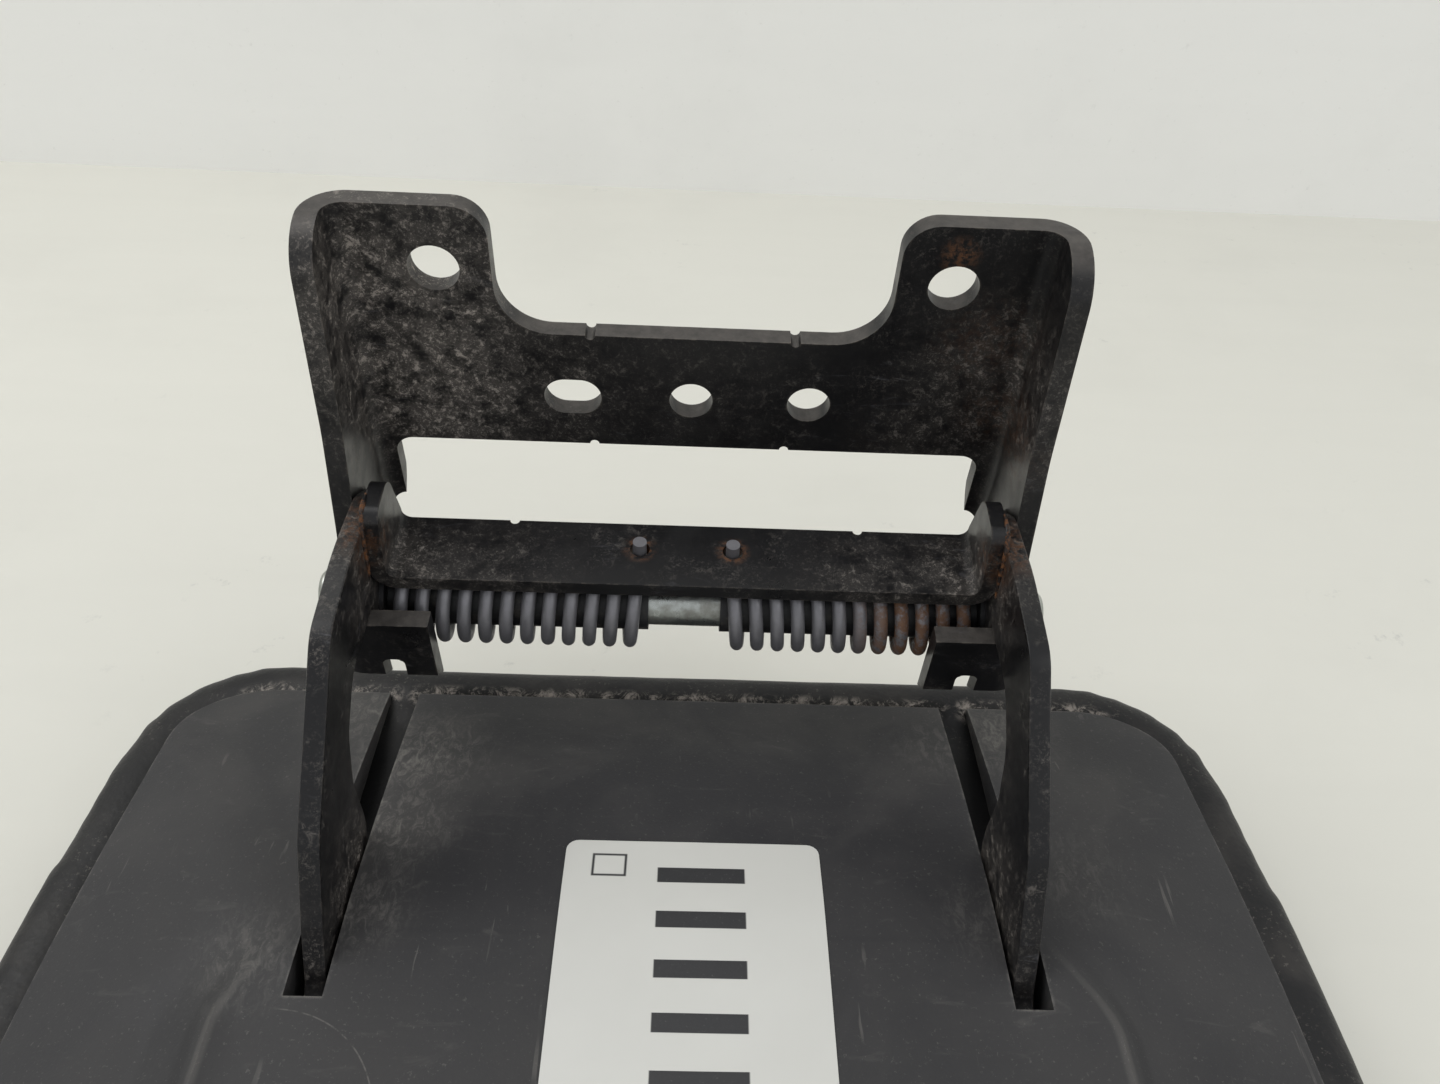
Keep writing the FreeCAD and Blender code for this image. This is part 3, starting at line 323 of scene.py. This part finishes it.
def shell_plastic():
    """Dark grey moulded plastic: fine grain, settled dust, fine scratches, dirt by the arms, pale dust on
    the edges that doubles as a painted highlight, painted shade on the rear slope and at its crease, and a
    painted highlight and painted shade along each side ridge.
    """
    f = Finish("shell_plastic", 0.6, 0.0, 0.26)
    grain = f.noise(0.55, 3, 0.6)
    pores = f.cells(0.75)
    cloud = f.span(f.noise(34, 6, 0.62, None, 0.4), 0.36, 0.7)
    speck = f.span(f.noise(0.9, 4, 0.7), 0.60, 0.70)
    tone = f.mix(f.noise(60, 3), *SHELL_TONES)
    tone = f.mix(f.times(grain, 0.4), tone, SHELL_GRAIN)
    rear = f.span(f.axis(1), -0.10, -0.03)
    by_slot = (
        (-0.069, -0.048, 0.026, 1.0), (-0.072, -0.074, 0.024, 0.9), (-0.074, -0.098, 0.020, 0.8),
        (-0.090, -0.030, 0.022, 0.7), (-0.094, -0.112, 0.020, 0.5), (0.072, -0.040, 0.018, 0.5),
        (0.090, -0.034, 0.024, 0.8), (0.096, -0.085, 0.022, 0.35), (0.072, -0.098, 0.016, 0.4),
    )
    spots = [((x, y, RIM_Z + moulded_height(x, y)), reach, strength) for x, y, reach, strength in by_slot]
    dirt = f.patches(spots, 0.95)
    brushed = f.span(f.noise(2.4, 7, 0.78, (1.0, 0.5, 1.0), 1.0), 0.44, 0.68)
    dirt = f.times(dirt, f.calc("ADD", 0.06, f.times(brushed, 0.34)))
    haze = f.times(cloud, f.calc("ADD", 0.035, f.times(rear, 0.07)))
    drawn_out = f.span(f.noise(2.2, 3, 0.5, (1.0, 0.06, 1.0), 0.4), 0.66, 0.70)
    scratch = f.times(drawn_out, f.span(f.noise(24, 2), 0.52, 0.66), 0.16)
    smear = f.times(f.span(f.noise(9, 5, 0.6, (0.5, 1.6, 1.0), 0.8), 0.60, 0.76), 0.07)
    between = f.within(0, -SLOT_X, SLOT_X, 0.003)
    # painted shade: the centre of the rear slope between the slots is darkened, as if that slope faced away
    # from the light
    ramp_painted_shade = f.times(f.span(f.axis(1), -0.112, -0.092), between, 0.55)
    tone = f.mix(ramp_painted_shade, tone, SHELL_PAINTED_SHADE)
    # painted shade: a darker band on the slope beside the crease and a thin dark line along the crease
    # itself, standing in for how the tilted surface is lit
    painted_shade_band = f.times(f.within(1, -0.127, -0.108, 0.006), between, 0.35)
    line = f.times(f.within(1, -0.1052, -0.1040, 0.0006), between, 0.6)
    colour = f.mix(f.most(painted_shade_band, line), tone, (0.026, 0.026, 0.028))
    colour = f.mix(haze, colour, PALE_DUST_AND_HIGHLIGHT)
    # painted highlight along each side ridge's crest, in the pale dust colour, and painted shade along the
    # ridge's foot
    along = f.fall(f.axis(1), RIDGE_START - RIDGE_RUN, RIDGE_START)
    ridge_at = f.calc("MULTIPLY_ADD", along, RIDGE_SPREAD, RIDGE_X)
    out = f.calc("SUBTRACT", f.calc("ABSOLUTE", f.axis(0)), ridge_at)
    ridge_painted_highlight = f.times(f.fall(f.calc("ABSOLUTE", out), 0.0004, 0.0016), along, 0.10)
    ridge_foot_painted_shade = f.times(f.fall(f.apart(out, 0.0042), 0.0006, 0.0022), along, 0.4)
    colour = f.mix(ridge_foot_painted_shade, colour, (0.020, 0.020, 0.021))
    colour = f.mix(ridge_painted_highlight, colour, PALE_DUST_AND_HIGHLIGHT)
    # pale dust on the eased edges by the slots, which also stands in for a painted highlight along those
    # edges
    edge_dust_and_highlight = f.times(f.edges(0.0014), f.span(f.noise(4, 6, 0.72), 0.40, 0.62), 0.30)
    curve = f.arc((-0.085, -0.150), 0.026, 0.00022, -0.086, -0.146)
    gouge = f.times(curve, f.span(f.noise(2, 4), 0.35, 0.6), 0.22)
    colour = f.mix(f.most(scratch, smear, edge_dust_and_highlight, gouge), colour, PALE_DUST_AND_HIGHLIGHT)
    colour = f.mix(dirt, colour, PALE_DUST_AND_HIGHLIGHT)
    colour = f.mix(f.times(speck, 0.13), colour, PALE_DUST_AND_HIGHLIGHT)
    rough = f.calc("ADD", f.span(cloud, 0, 1, 0.50, 0.62), f.times(dirt, 0.3))
    fine = f.bump(f.calc("ADD", grain, f.times(pores, 0.6)), 0.22, 0.12)
    return f.finish(colour, rough, fine)


def vinyl():
    """Black upholstery vinyl: pebbled grain, soft creases, dust in the crevice by the shell, and painted
    shade darkening that crevice.
    """
    f = Finish("vinyl", 0.46, 0.0, 0.3)
    pebble = f.cells(1.15, "SMOOTH_F1")
    fine = f.noise(0.6, 4)
    crease = f.noise(7, 4, 0.55, (1.0, 1.0, 0.3), 0.7)
    cloud = f.span(f.noise(22, 6, 0.66), 0.44, 0.72)
    # the grime attribute marks the crevice by the shell's edge: it sets both the dust there and the painted
    # shade below
    grime = f.add("ShaderNodeAttribute", attribute_name="grime").outputs["Fac"]
    crevice = f.times(f.span(grime, 0.25, 0.8), f.span(f.noise(5, 8, 0.8, None, 0.8), 0.46, 0.62))
    top = f.span(f.axis(2), -0.097, -0.091)
    specks = f.times(f.span(f.noise(1.1, 5, 0.72), 0.56, 0.68), f.span(f.noise(20, 4), 0.42, 0.62))
    dust = f.most(f.times(crevice, 0.75), f.times(top, cloud, 0.05), f.times(top, specks, 0.22))
    tone = f.mix(f.noise(45, 3), *VINYL_TONES)
    # painted shade: the vinyl is darkened to near black in the crevice along the shell's edge
    tone = f.mix(f.times(f.span(grime, 0.3, 0.9), 0.9), tone, (0.002, 0.002, 0.002))
    colour = f.mix(dust, tone, DUST)
    rough = f.calc("ADD", f.span(fine, 0.3, 0.7, 0.38, 0.50), f.times(dust, 0.4))
    folds = f.bump(crease, 0.25, 0.8)
    grain = f.bump(f.calc("ADD", pebble, f.times(fine, 0.4)), 0.35, 0.16, folds)
    return f.finish(colour, rough, grain)


def plywood():
    f = Finish("plywood", 0.7)
    grain = f.noise(2.0, 6, 0.65, (0.08, 1.0, 1.0), 0.5)
    layers = f.span(f.calc("SINE", f.times(f.axis(2), 2 * math.pi / 0.003)), -0.3, 0.3)
    colour = f.mix(grain, (0.36, 0.23, 0.12), (0.58, 0.42, 0.25))
    colour = f.mix(f.times(layers, 0.25), colour, (0.25, 0.15, 0.08))
    return f.finish(colour, f.span(grain, 0.2, 0.8, 0.6, 0.85), f.bump(grain, 0.4, 0.2))


def label_paper():
    """White label stock printed with plain bars and a plain square frame."""
    f = Finish("label_paper", 0.5)
    fibre = f.noise(0.5, 5)
    left = LABEL_LEFT
    rear = LABEL_REAR
    crisp = 0.0002
    tint = f.mix(f.noise(25, 3), (0.58, 0.576, 0.54), (0.63, 0.628, 0.59))
    down = f.calc("SUBTRACT", rear - 0.008, f.axis(1))
    beat = f.calc("FRACT", f.calc("DIVIDE", down, 0.0125))
    across = f.within(0, left + 0.0225, left + 0.0435, crisp)
    bars = f.times(across, f.fall(beat, 0.345, 0.36), f.within(1, rear - 0.104, rear - 0.006, crisp))

    def frame_of(half_x, half_y):
        x = left + 0.0108
        y = rear - 0.0075
        wide = f.within(0, x - half_x, x + half_x, crisp)
        return f.times(wide, f.within(1, y - half_y, y + half_y, crisp))

    outer = frame_of(0.0042, 0.0034)
    inner = frame_of(0.0036, 0.0028)
    mark = f.calc("SUBTRACT", outer, inner)
    ink = f.most(bars, mark)
    worn = f.times(ink, f.span(f.noise(0.9, 4), 0.2, 0.4, 0.9, 1.0))
    colour = f.mix(worn, tint, (0.022, 0.022, 0.024))
    return f.finish(colour, f.span(fibre, 0.3, 0.7, 0.42, 0.56), f.bump(fibre, 0.12, 0.05))


def floor_white(name, tone, smudge):
    """Pale painted board with faint brush marks and smudges."""
    f = Finish(name, 0.75, 0.0, 0.25)
    brushed = f.noise(45, 6, 0.6, (0.3, 1.6, 1.6), 0.4)
    patch = f.span(f.noise(120, 5, 0.6), 0.48, 0.74)
    marks = f.times(f.span(f.noise(11, 5, 0.66), 0.63, 0.76), f.span(f.noise(170, 2), 0.45, 0.65), smudge)
    colour = f.mix(f.times(brushed, 0.5), tone, tuple(0.92 * value for value in tone))
    colour = f.mix(f.times(patch, 0.25), colour, tuple(0.86 * value for value in tone))
    colour = f.mix(f.times(f.span(f.noise(3, 6, 0.75), 0.62, 0.72), 0.3), colour, (0.62, 0.61, 0.57))
    colour = f.mix(marks, colour, (0.42, 0.42, 0.40))
    return f.finish(colour, f.span(brushed, 0.2, 0.8, 0.65, 0.85), f.bump(brushed, 0.08, 0.5))


# ---- mesh helpers ----

def body_name(node):
    for body, nodes in frame["record"]["behaviour"]["bodies"].items():
        if node in nodes:
            return body
    return None


def new_piece(name, mesh, material, body):
    mesh.materials.clear()
    mesh.materials.append(material)
    piece = bpy.data.objects.new(name, mesh)
    bpy.context.scene.collection.objects.link(piece)
    if body:
        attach(piece, body)
    return piece


def smooth_by_angle(mesh, degrees):
    """Smooth shading, with edges sharper than an angle kept crisp."""
    work = bmesh.new()
    work.from_mesh(mesh)
    for face in work.faces:
        face.smooth = True
    for edge in work.edges:
        edge.smooth = not (edge.is_manifold and edge.calc_face_angle(0) > math.radians(degrees))
    work.to_mesh(mesh)
    work.free()


def welded_copy(node, flat_degrees=0.8):
    """A node's mesh in one skin, with its flat faces made whole."""
    mesh = frame["nodes"][node].data.copy()
    work = bmesh.new()
    work.from_mesh(mesh)
    bmesh.ops.remove_doubles(work, verts=work.verts, dist=0.002 * MM)
    bmesh.ops.dissolve_limit(
        work, angle_limit=math.radians(flat_degrees), verts=work.verts, edges=work.edges)
    work.to_mesh(mesh)
    work.free()
    mesh.update()
    return mesh


def apply_modifiers(piece):
    """Fixes what the piece's modifiers do into its mesh."""
    depsgraph = bpy.context.evaluated_depsgraph_get()
    mesh = bpy.data.meshes.new_from_object(piece.evaluated_get(depsgraph))
    piece.modifiers.clear()
    piece.data = mesh


def eased_metal(node, name, material, width):
    """The node again, with the sharp edges of its plate or bar eased."""
    piece = new_piece(name, welded_copy(node), material, body_name(node))
    rounding = piece.modifiers.new("eased", "BEVEL")
    rounding.width = width * MM
    rounding.segments = 2
    rounding.limit_method = "ANGLE"
    rounding.angle_limit = math.radians(40)
    rounding.use_clamp_overlap = True
    apply_modifiers(piece)
    smooth_by_angle(piece.data, 32)
    shading = piece.modifiers.new("even shading", "WEIGHTED_NORMAL")
    shading.keep_sharp = True
    apply_modifiers(piece)
    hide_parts(node)
    return piece


def tube(name, points, radius, material, body, sides=10):
    """A bead swept along points, its thickness a little uneven."""
    work = bmesh.new()
    rings = []
    count = len(points)
    for index, point in enumerate(points):
        ahead = (points[min(index + 1, count - 1)] - points[max(index - 1, 0)]).normalized()
        across = ahead.orthogonal().normalized()
        third = ahead.cross(across)
        ends = min(index, count - 1 - index) / 2
        swell = radius * MM * min(1.0, 0.35 + 0.4 * ends) * (1 + 0.22 * noise.noise(point * 900))
        ring = []
        for side in range(sides):
            turn = 2 * math.pi * side / sides
            ring.append(work.verts.new(point + swell * (across * math.cos(turn) + third * math.sin(turn))))
        rings.append(ring)
    for first, second in zip(rings, rings[1:]):
        for side in range(sides):
            after = (side + 1) % sides
            work.faces.new((first[side], first[after], second[after], second[side]))
    work.faces.new(list(reversed(rings[0])))
    work.faces.new(rings[-1])
    bmesh.ops.recalc_face_normals(work, faces=work.faces)
    mesh = bpy.data.meshes.new(name)
    work.to_mesh(mesh)
    work.free()
    smooth_by_angle(mesh, 60)
    return new_piece(name, mesh, material, body)


# ---- the back shell ----

shell_low, shell_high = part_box("back_shell")
RIM_Z = -0.090
RISE = shell_high.z - RIM_Z
TOP_REAR = 0.091
TOP_FRONT = 0.075
TOP_HALF = 0.097
HIP_HALF = 0.1492
CREASE_REAR = 0.0835
SLOT_X = 0.074
RIDGE_X = 0.085
RIDGE_SPREAD = 0.012
RIDGE_START = -0.098
RIDGE_RUN = 0.030
label_low, label_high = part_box("stock_label")
LABEL_LEFT = label_low.x
LABEL_REAR = label_high.y


def hip_height(x, y):
    """Height of the CAD shell's plain hipped top over its rim."""
    return RISE * min(
        1.0,
        (shell_high.y - y) / TOP_REAR,
        (y - shell_low.y) / TOP_FRONT,
        (HIP_HALF - abs(x)) / (HIP_HALF - TOP_HALF),
    )


def ease(value):
    value = min(max(value, 0.0), 1.0)
    return value * value * (3 - 2 * value)


def hill(distance, width):
    return math.exp(-(distance / width) ** 2)


def moulded_height(x, y):
    """Height of the moulded top: convex slopes, soft creases, and a ridge and a valley at each side."""
    side = (HIP_HALF - abs(x)) / (HIP_HALF - TOP_HALF)
    rear = (shell_high.y - y) / CREASE_REAR
    front = (y - shell_low.y) / TOP_FRONT
    slopes = [
        rear * (1.45 - 0.42 * min(rear, 1.1)),
        side * (1.30 - 0.30 * min(side, 1.1)),
        front * (1.35 - 0.33 * min(front, 1.1)),
        1.0,
    ]
    soft = 0.045
    height = -soft * math.log(sum(math.exp(-slope / soft) for slope in slopes))
    along = ease((RIDGE_START - y) / RIDGE_RUN)
    out = abs(x) - (RIDGE_X + RIDGE_SPREAD * along)
    fade = along * ease((y - shell_low.y - 0.02) / 0.05)
    ridge = 0.0018 * hill(out, 0.0026)
    groove = 0.0010 * hill(out - 0.005, 0.0022)
    valley = 0.0026 * hill(out - 0.014, 0.0055)
    return RISE * height + fade * (ridge - groove - valley)


def cut_grid(work, low, high, step):
    """Cuts a mesh along a square grid, so that its flat faces can bend."""
    for axis, normal in ((0, (1, 0, 0)), (1, (0, 1, 0))):
        place = low[axis] + step
        while place < high[axis] - step / 2:
            point = Vector((0, 0, 0))
            point[axis] = place
            geometry = work.verts[:] + work.edges[:] + work.faces[:]
            bmesh.ops.bisect_plane(work, geom=geometry, dist=1e-6, plane_co=point, plane_no=normal)
            place += step


def make_shell(material):
    mesh = welded_copy("back_shell")
    work = bmesh.new()
    work.from_mesh(mesh)
    cut_grid(work, shell_low, shell_high, 4 * MM)
    for vert in work.verts:
        x, y, _ = vert.co
        vert.co.z += moulded_height(x, y) - max(hip_height(x, y), -0.002)
    work.to_mesh(mesh)
    work.free()
    smooth_by_angle(mesh, 30)
    shell = new_piece("moulded_back_shell", mesh, material, "seat")
    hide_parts("back_shell")
    return shell


def make_label(material):
    """A sheet that lies on the moulded top, with round corners."""
    width = label_high.x - label_low.x
    length = 0.110
    corner = 0.003
    middle = (label_low.x + label_high.x) / 2
    rows = [corner * (1 - math.cos(math.pi / 2 * step / 5)) for step in range(6)]
    rows += [corner + (length - 2 * corner) * step / 60 for step in range(1, 60)]
    rows += [length - value for value in reversed(rows[:6])]
    columns = 28
    work = bmesh.new()
    grid = []
    for row in rows:
        end = min(row, length - row, corner)
        half = width / 2 - corner + math.sqrt(max(corner ** 2 - (corner - end) ** 2, 0))
        line = []
        for column in range(columns + 1):
            x = middle + half * (2 * column / columns - 1)
            y = label_high.y - row
            lift = 0.00035 + 0.00012 * noise.noise(Vector((x, y, 0)) * 60)
            line.append(work.verts.new((x, y, RIM_Z + moulded_height(x, y) + lift)))
        grid.append(line)
    for near, far in zip(grid, grid[1:]):
        for column in range(columns):
            work.faces.new((near[column], far[column], far[column + 1], near[column + 1]))
    bmesh.ops.recalc_face_normals(work, faces=work.faces)
    mesh = bpy.data.meshes.new("paper_label")
    work.to_mesh(mesh)
    work.free()
    label = new_piece("paper_label", mesh, material, "seat")
    thickness = label.modifiers.new("paper", "SOLIDIFY")
    thickness.thickness = 0.2 * MM
    thickness.offset = 0
    apply_modifiers(label)
    smooth_by_angle(label.data, 50)
    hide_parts("stock_label")


# ---- the cushion ----

pad_low, pad_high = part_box("cushion_cover")
SKIN_VOXEL = 3.2
SIDE_TUCK = 0.024
SWELL_FRAMES = 20
SWELL_PRESSURE = 4.0
SWELL_LIMIT = 6 * MM
HELD_Z = -0.104


def joined_skin(nodes, voxel):
    """The nodes run together into one closed skin of even faces."""
    work = bmesh.new()
    for node in nodes:
        work.from_mesh(frame["nodes"][node].data)
    mesh = bpy.data.meshes.new("joined")
    work.to_mesh(mesh)
    work.free()
    piece = bpy.data.objects.new("joined", mesh)
    bpy.context.scene.collection.objects.link(piece)
    remesh = piece.modifiers.new("even", "REMESH")
    remesh.mode = "VOXEL"
    remesh.voxel_size = voxel * MM
    apply_modifiers(piece)
    mesh = piece.data
    bpy.data.objects.remove(piece)
    return mesh


def swell(piece):
    """Lets the cover fill out over its foam, held at its rolled edge, and fixes the result."""
    start = [vert.co.copy() for vert in piece.data.vertices]
    held = piece.vertex_groups.new(name="held")
    for vert in piece.data.vertices:
        weight = ease((vert.co.z - HELD_Z + 0.010) / 0.010)
        held.add([vert.index], weight, "REPLACE")
    cloth = piece.modifiers.new("cloth", "CLOTH")
    cloth.settings.use_pressure = True
    cloth.settings.uniform_pressure_force = SWELL_PRESSURE
    cloth.settings.effector_weights.gravity = 0
    cloth.settings.vertex_group_mass = "held"
    cloth.settings.quality = 5
    cloth.collision_settings.use_collision = False
    cloth.point_cache.frame_start = 1
    cloth.point_cache.frame_end = SWELL_FRAMES
    for step in range(1, SWELL_FRAMES + 1):
        bpy.context.scene.frame_set(step)
    depsgraph = bpy.context.evaluated_depsgraph_get()
    swollen = piece.evaluated_get(depsgraph).to_mesh()
    moved = [vert.co.copy() for vert in swollen.vertices]
    piece.evaluated_get(depsgraph).to_mesh_clear()
    piece.modifiers.clear()
    for vert, first, last in zip(piece.data.vertices, start, moved):
        shift = last - first
        if shift.length > SWELL_LIMIT:
            shift *= SWELL_LIMIT / shift.length
        vert.co = first + shift
    bpy.context.scene.frame_set(1)


def rim_points(spacing):
    """Points along the back shell's lower edge."""
    mesh = frame["nodes"]["back_shell"].data
    points = []
    for edge in mesh.edges:
        first, second = (mesh.vertices[index].co for index in edge.vertices)
        if max(abs(first.z - RIM_Z), abs(second.z - RIM_Z)) < 0.3 * MM:
            count = max(1, round((second - first).length / spacing))
            points += [first.lerp(second, step / count) for step in range(count + 1)]
    return points


def mark_grime_and_shade(cover):
    """Stores how near each point of the cover is to the back shell's edge, where dirt gathers and where the
    vinyl is darkened as painted shade.
    """
    edge = rim_points(1.2 * MM)
    tree = KDTree(len(edge))
    for index, place in enumerate(edge):
        tree.insert(place, index)
    tree.balance()
    grime = cover.data.attributes.new("grime", "FLOAT", "POINT")
    for vert, entry in zip(cover.data.vertices, grime.data):
        if vert.co.z > pad_low.z + 30 * MM:
            entry.value = hill(tree.find(vert.co)[2], 4.2 * MM)


def make_cover(material):
    """The vinyl cover, swollen over the foam, with its rolled edge round the shell."""
    mesh = joined_skin(["cushion_cover", "cushion_foam", "seat_board"], SKIN_VOXEL)
    middle_x = (pad_low.x + pad_high.x) / 2
    middle_y = (pad_low.y + pad_high.y) / 2
    for vert in mesh.vertices:
        low = ease((-0.100 - vert.co.z) / 0.030)
        vert.co.x += (middle_x - vert.co.x) * SIDE_TUCK * low
        vert.co.y += (middle_y - vert.co.y) * SIDE_TUCK * low
    cover = new_piece("vinyl_cover", mesh, material, "seat")
    swell(cover)
    relax = cover.modifiers.new("relax", "SMOOTH")
    relax.factor = 0.5
    relax.iterations = 14
    finer = cover.modifiers.new("finer", "SUBSURF")
    finer.levels = 1
    finer.render_levels = 1
    apply_modifiers(cover)
    corner_y = pad_high.y - 0.030
    for vert in cover.data.vertices:
        x, y, z = vert.co
        on_roll = ease((z + 0.112) / 0.012)
        near_corner = hill(math.hypot(abs(x) - 0.128, y - corner_y), 0.042)
        bearing = math.atan2(y - corner_y + 0.03, abs(x) - 0.100)
        pucker = 0.00016 * math.sin(bearing * 44) * near_corner * on_roll
        place = Vector((x, y, z))
        wander = 0.00018 * noise.noise(place * 30) + 0.00008 * noise.noise(place * 160)
        away = Vector((x - middle_x, y - middle_y, 0)).normalized()
        vert.co += away * (pucker + wander * (0.4 + 0.6 * on_roll))
        vert.co.z = max(vert.co.z, pad_low.z)
    mark_grime_and_shade(cover)
    for face in cover.data.polygons:
        face.use_smooth = True
    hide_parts("cushion_cover", "cushion_foam")
    return cover


# ---- the springs and the welds ----

def make_springs(finishes):
    for side, finish in zip(MIRROR, finishes):
        node = "torsion_spring_left" if side < 0 else "torsion_spring_right"
        mesh = frame["nodes"][node].data.copy()
        piece = bpy.data.objects.new("wound_" + node, mesh)
        bpy.context.scene.collection.objects.link(piece)
        mesh.materials.clear()
        mesh.materials.append(finish)
        smooth_by_angle(mesh, 40)
        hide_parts(node)
        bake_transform(piece)


def make_welds(material):
    """Beads that join the arms to the bridge's upturned ears."""
    edge = [(-23, 43.2), (-18, 42.2), (-13, 41.4), (-9, 40.2), (-6, 38.2), (-4.9, 35.2), (-4.7, 31)]
    for side, name in zip(MIRROR, ("weld_left", "weld_right")):
        points = []
        for (up, out), (next_up, next_out) in zip(edge, edge[1:]):
            for step in range(4):
                share = step / 4
                points.append(at(side * 76.4, up + (next_up - up) * share, out + (next_out - out) * share))
        tube(name, points, 0.65, material, "seat")


# ---- dressing the frame ----

def dress():
    web_corner = [
        (at(-66, 3, -1), 0.038, 1.9), (at(-70, 28, 0), 0.044, 1.7), (at(-64, -12, 0), 0.030, 0.8),
        (at(-40, 2, 0), 0.040, 0.5), (at(77, 12, 6), 0.036, 0.7), (at(66, -10, 0), 0.03, 0.5),
        (at(82, 30, 20), 0.04, 0.2), (at(-81, -30, 10), 0.04, 0.3), (at(-5, 8, 0), 0.05, 0.18),
        (at(81, -30, 10), 0.04, 0.25),
    ]
    web_rust = [(at(72, 22, 0), 0.018, 0.12), (at(60, 46, 0), 0.006, 0.6), (at(79, 0, 10), 0.018, 0.25)]
    bracket_paint = black_paint("bracket_paint", web_corner, web_rust, 0.13, 0.20)
    arm_dust = [(at(side * 79, -72, 100), 0.034, 1.0) for side in MIRROR]
    arm_dust += [(at(side * 79, -50, 70), 0.030, 0.55) for side in MIRROR]
    arm_dust += [(at(side * 79, -20, 40), 0.028, 0.8) for side in MIRROR]
    arm_rust = [(at(side * 77, -12, 38), 0.014, 0.5) for side in MIRROR]
    arm_paint = black_paint("arm_paint", arm_dust, arm_rust, 0.26)
    bridge_dust = [(at(side * 68, -22, 36), 0.020, 0.8) for side in MIRROR]
    bridge_dust += [(at(-50, -24, 40), 0.03, 0.35), (at(50, -24, 40), 0.03, 0.45)]
    bridge_rust = [(at(side * 11.7, -24, 30), 0.0052, 0.95) for side in MIRROR]
    bridge_rust += [(at(side * 77, -14, 38), 0.009, 0.5) for side in MIRROR]
    bridge_paint = black_paint("bridge_paint", bridge_dust, bridge_rust, 0.16)
    weld_paint = black_paint("weld_paint", [], [(at(side * 77, -14, 38), 0.03, 0.9) for side in MIRROR], 0.3)
    bright = zinc("shaft_zinc")
    plain_zinc = zinc("fastener_zinc", (0.36, 0.37, 0.36))
    left_wire = spring_steel("left_wire", [(at(-66, -40, 33), 0.012, 0.35)])
    right_wire = spring_steel("right_wire", [(at(62, -40, 33), 0.026, 0.95)])
    ring_steel = spring_steel("ring_steel")
    nylon = black_nylon()
    plastic = shell_plastic()
    cover_vinyl = vinyl()
    eased_metal("mounting_bracket", "painted_bracket", bracket_paint, 0.6)
    eased_metal("left_arm", "painted_left_arm", arm_paint, 0.6)
    eased_metal("right_arm", "painted_right_arm", arm_paint, 0.6)
    eased_metal("spring_bridge", "painted_bridge", bridge_paint, 0.5)
    make_welds(weld_paint)
    make_springs((left_wire, right_wire))
    make_shell(plastic)
    make_label(label_paper())
    make_cover(cover_vinyl)
    kept = {
        "pivot_shaft": bright, "shaft_retaining_rings": ring_steel,
        "shaft_washers": plain_zinc, "tie_plate_bolts": plain_zinc, "tee_nuts": plain_zinc,
        "shell_screws": plain_zinc, "cover_staples": plain_zinc,
        "spring_sleeve_left": nylon, "spring_sleeve_right": nylon, "left_bush": nylon, "right_bush": nylon,
        "arm_tie_plate": arm_paint, "seat_board": plywood(),
    }
    for node, material in kept.items():
        for slot in frame["nodes"][node].material_slots:
            slot.material = material


# ---- the bench, the light and the camera ----

STAGE_HALF = 4.0
STAGE_FRONT = -3.0
WALL_Y = 0.44
WALL_HEIGHT = 1.3


def make_stage():
    """The bench under the pad and the wall behind it."""
    floor_z = cad_box[0].z
    wall_z = floor_z + WALL_HEIGHT
    ends = (-STAGE_HALF, STAGE_HALF)
    bench = [(x, y, floor_z) for x, y in zip(ends * 2, (STAGE_FRONT, STAGE_FRONT, WALL_Y, WALL_Y))]
    wall = [(x, WALL_Y, z) for x, z in zip(ends * 2, (floor_z, floor_z, wall_z, wall_z))]
    for name, verts, material in (
        ("bench", bench, floor_white("bench_white", (0.717, 0.708, 0.645), 0.5)),
        ("backdrop", wall, floor_white("wall_white", (0.90, 0.895, 0.86), 0.3)),
    ):
        mesh = bpy.data.meshes.new(name)
        mesh.from_pydata(verts, [], [(0, 1, 3, 2)])
        mesh.materials.append(material)
        stage = bpy.data.objects.new(name, mesh)
        bpy.context.scene.collection.objects.link(stage)


def make_light():
    world = bpy.data.worlds.new("soft_sky")
    world.use_nodes = True
    world.node_tree.nodes["Background"].inputs["Color"].default_value = (0.95, 0.97, 1.0, 1)
    world.node_tree.nodes["Background"].inputs["Strength"].default_value = 0.78
    bpy.context.scene.world = world
    for name, place, size, power in (
        ("key_panel", (-0.7, 0.25, 1.15), 0.9, 8.5), ("fill_panel", (0.9, -0.5, 0.9), 0.8, 2.5),
    ):
        lamp = bpy.data.lights.new(name, "AREA")
        lamp.energy = power
        lamp.size = size
        lamp.color = (1.0, 0.99, 0.97)
        light = bpy.data.objects.new(name, lamp)
        light.location = place
        light.rotation_euler = (Vector((0, -0.1, -0.08)) - Vector(place)).to_track_quat("-Z", "Y").to_euler()
        bpy.context.scene.collection.objects.link(light)


def make_camera():
    lens = bpy.data.cameras.new("view")
    lens.lens = 28.75
    lens.sensor_width = 36
    lens.clip_start = 0.005
    lens.clip_end = 20
    camera = bpy.data.objects.new("view", lens)
    camera.location = (-0.0010, -0.2464, 0.1630)
    camera.rotation_euler = Euler([math.radians(angle) for angle in (49.55, -2.60, -0.23)])
    bpy.context.scene.collection.objects.link(camera)
    bpy.context.scene.camera = camera


bpy.context.scene.view_settings.view_transform = "Standard"
dress()
make_stage()
make_light()
make_camera()
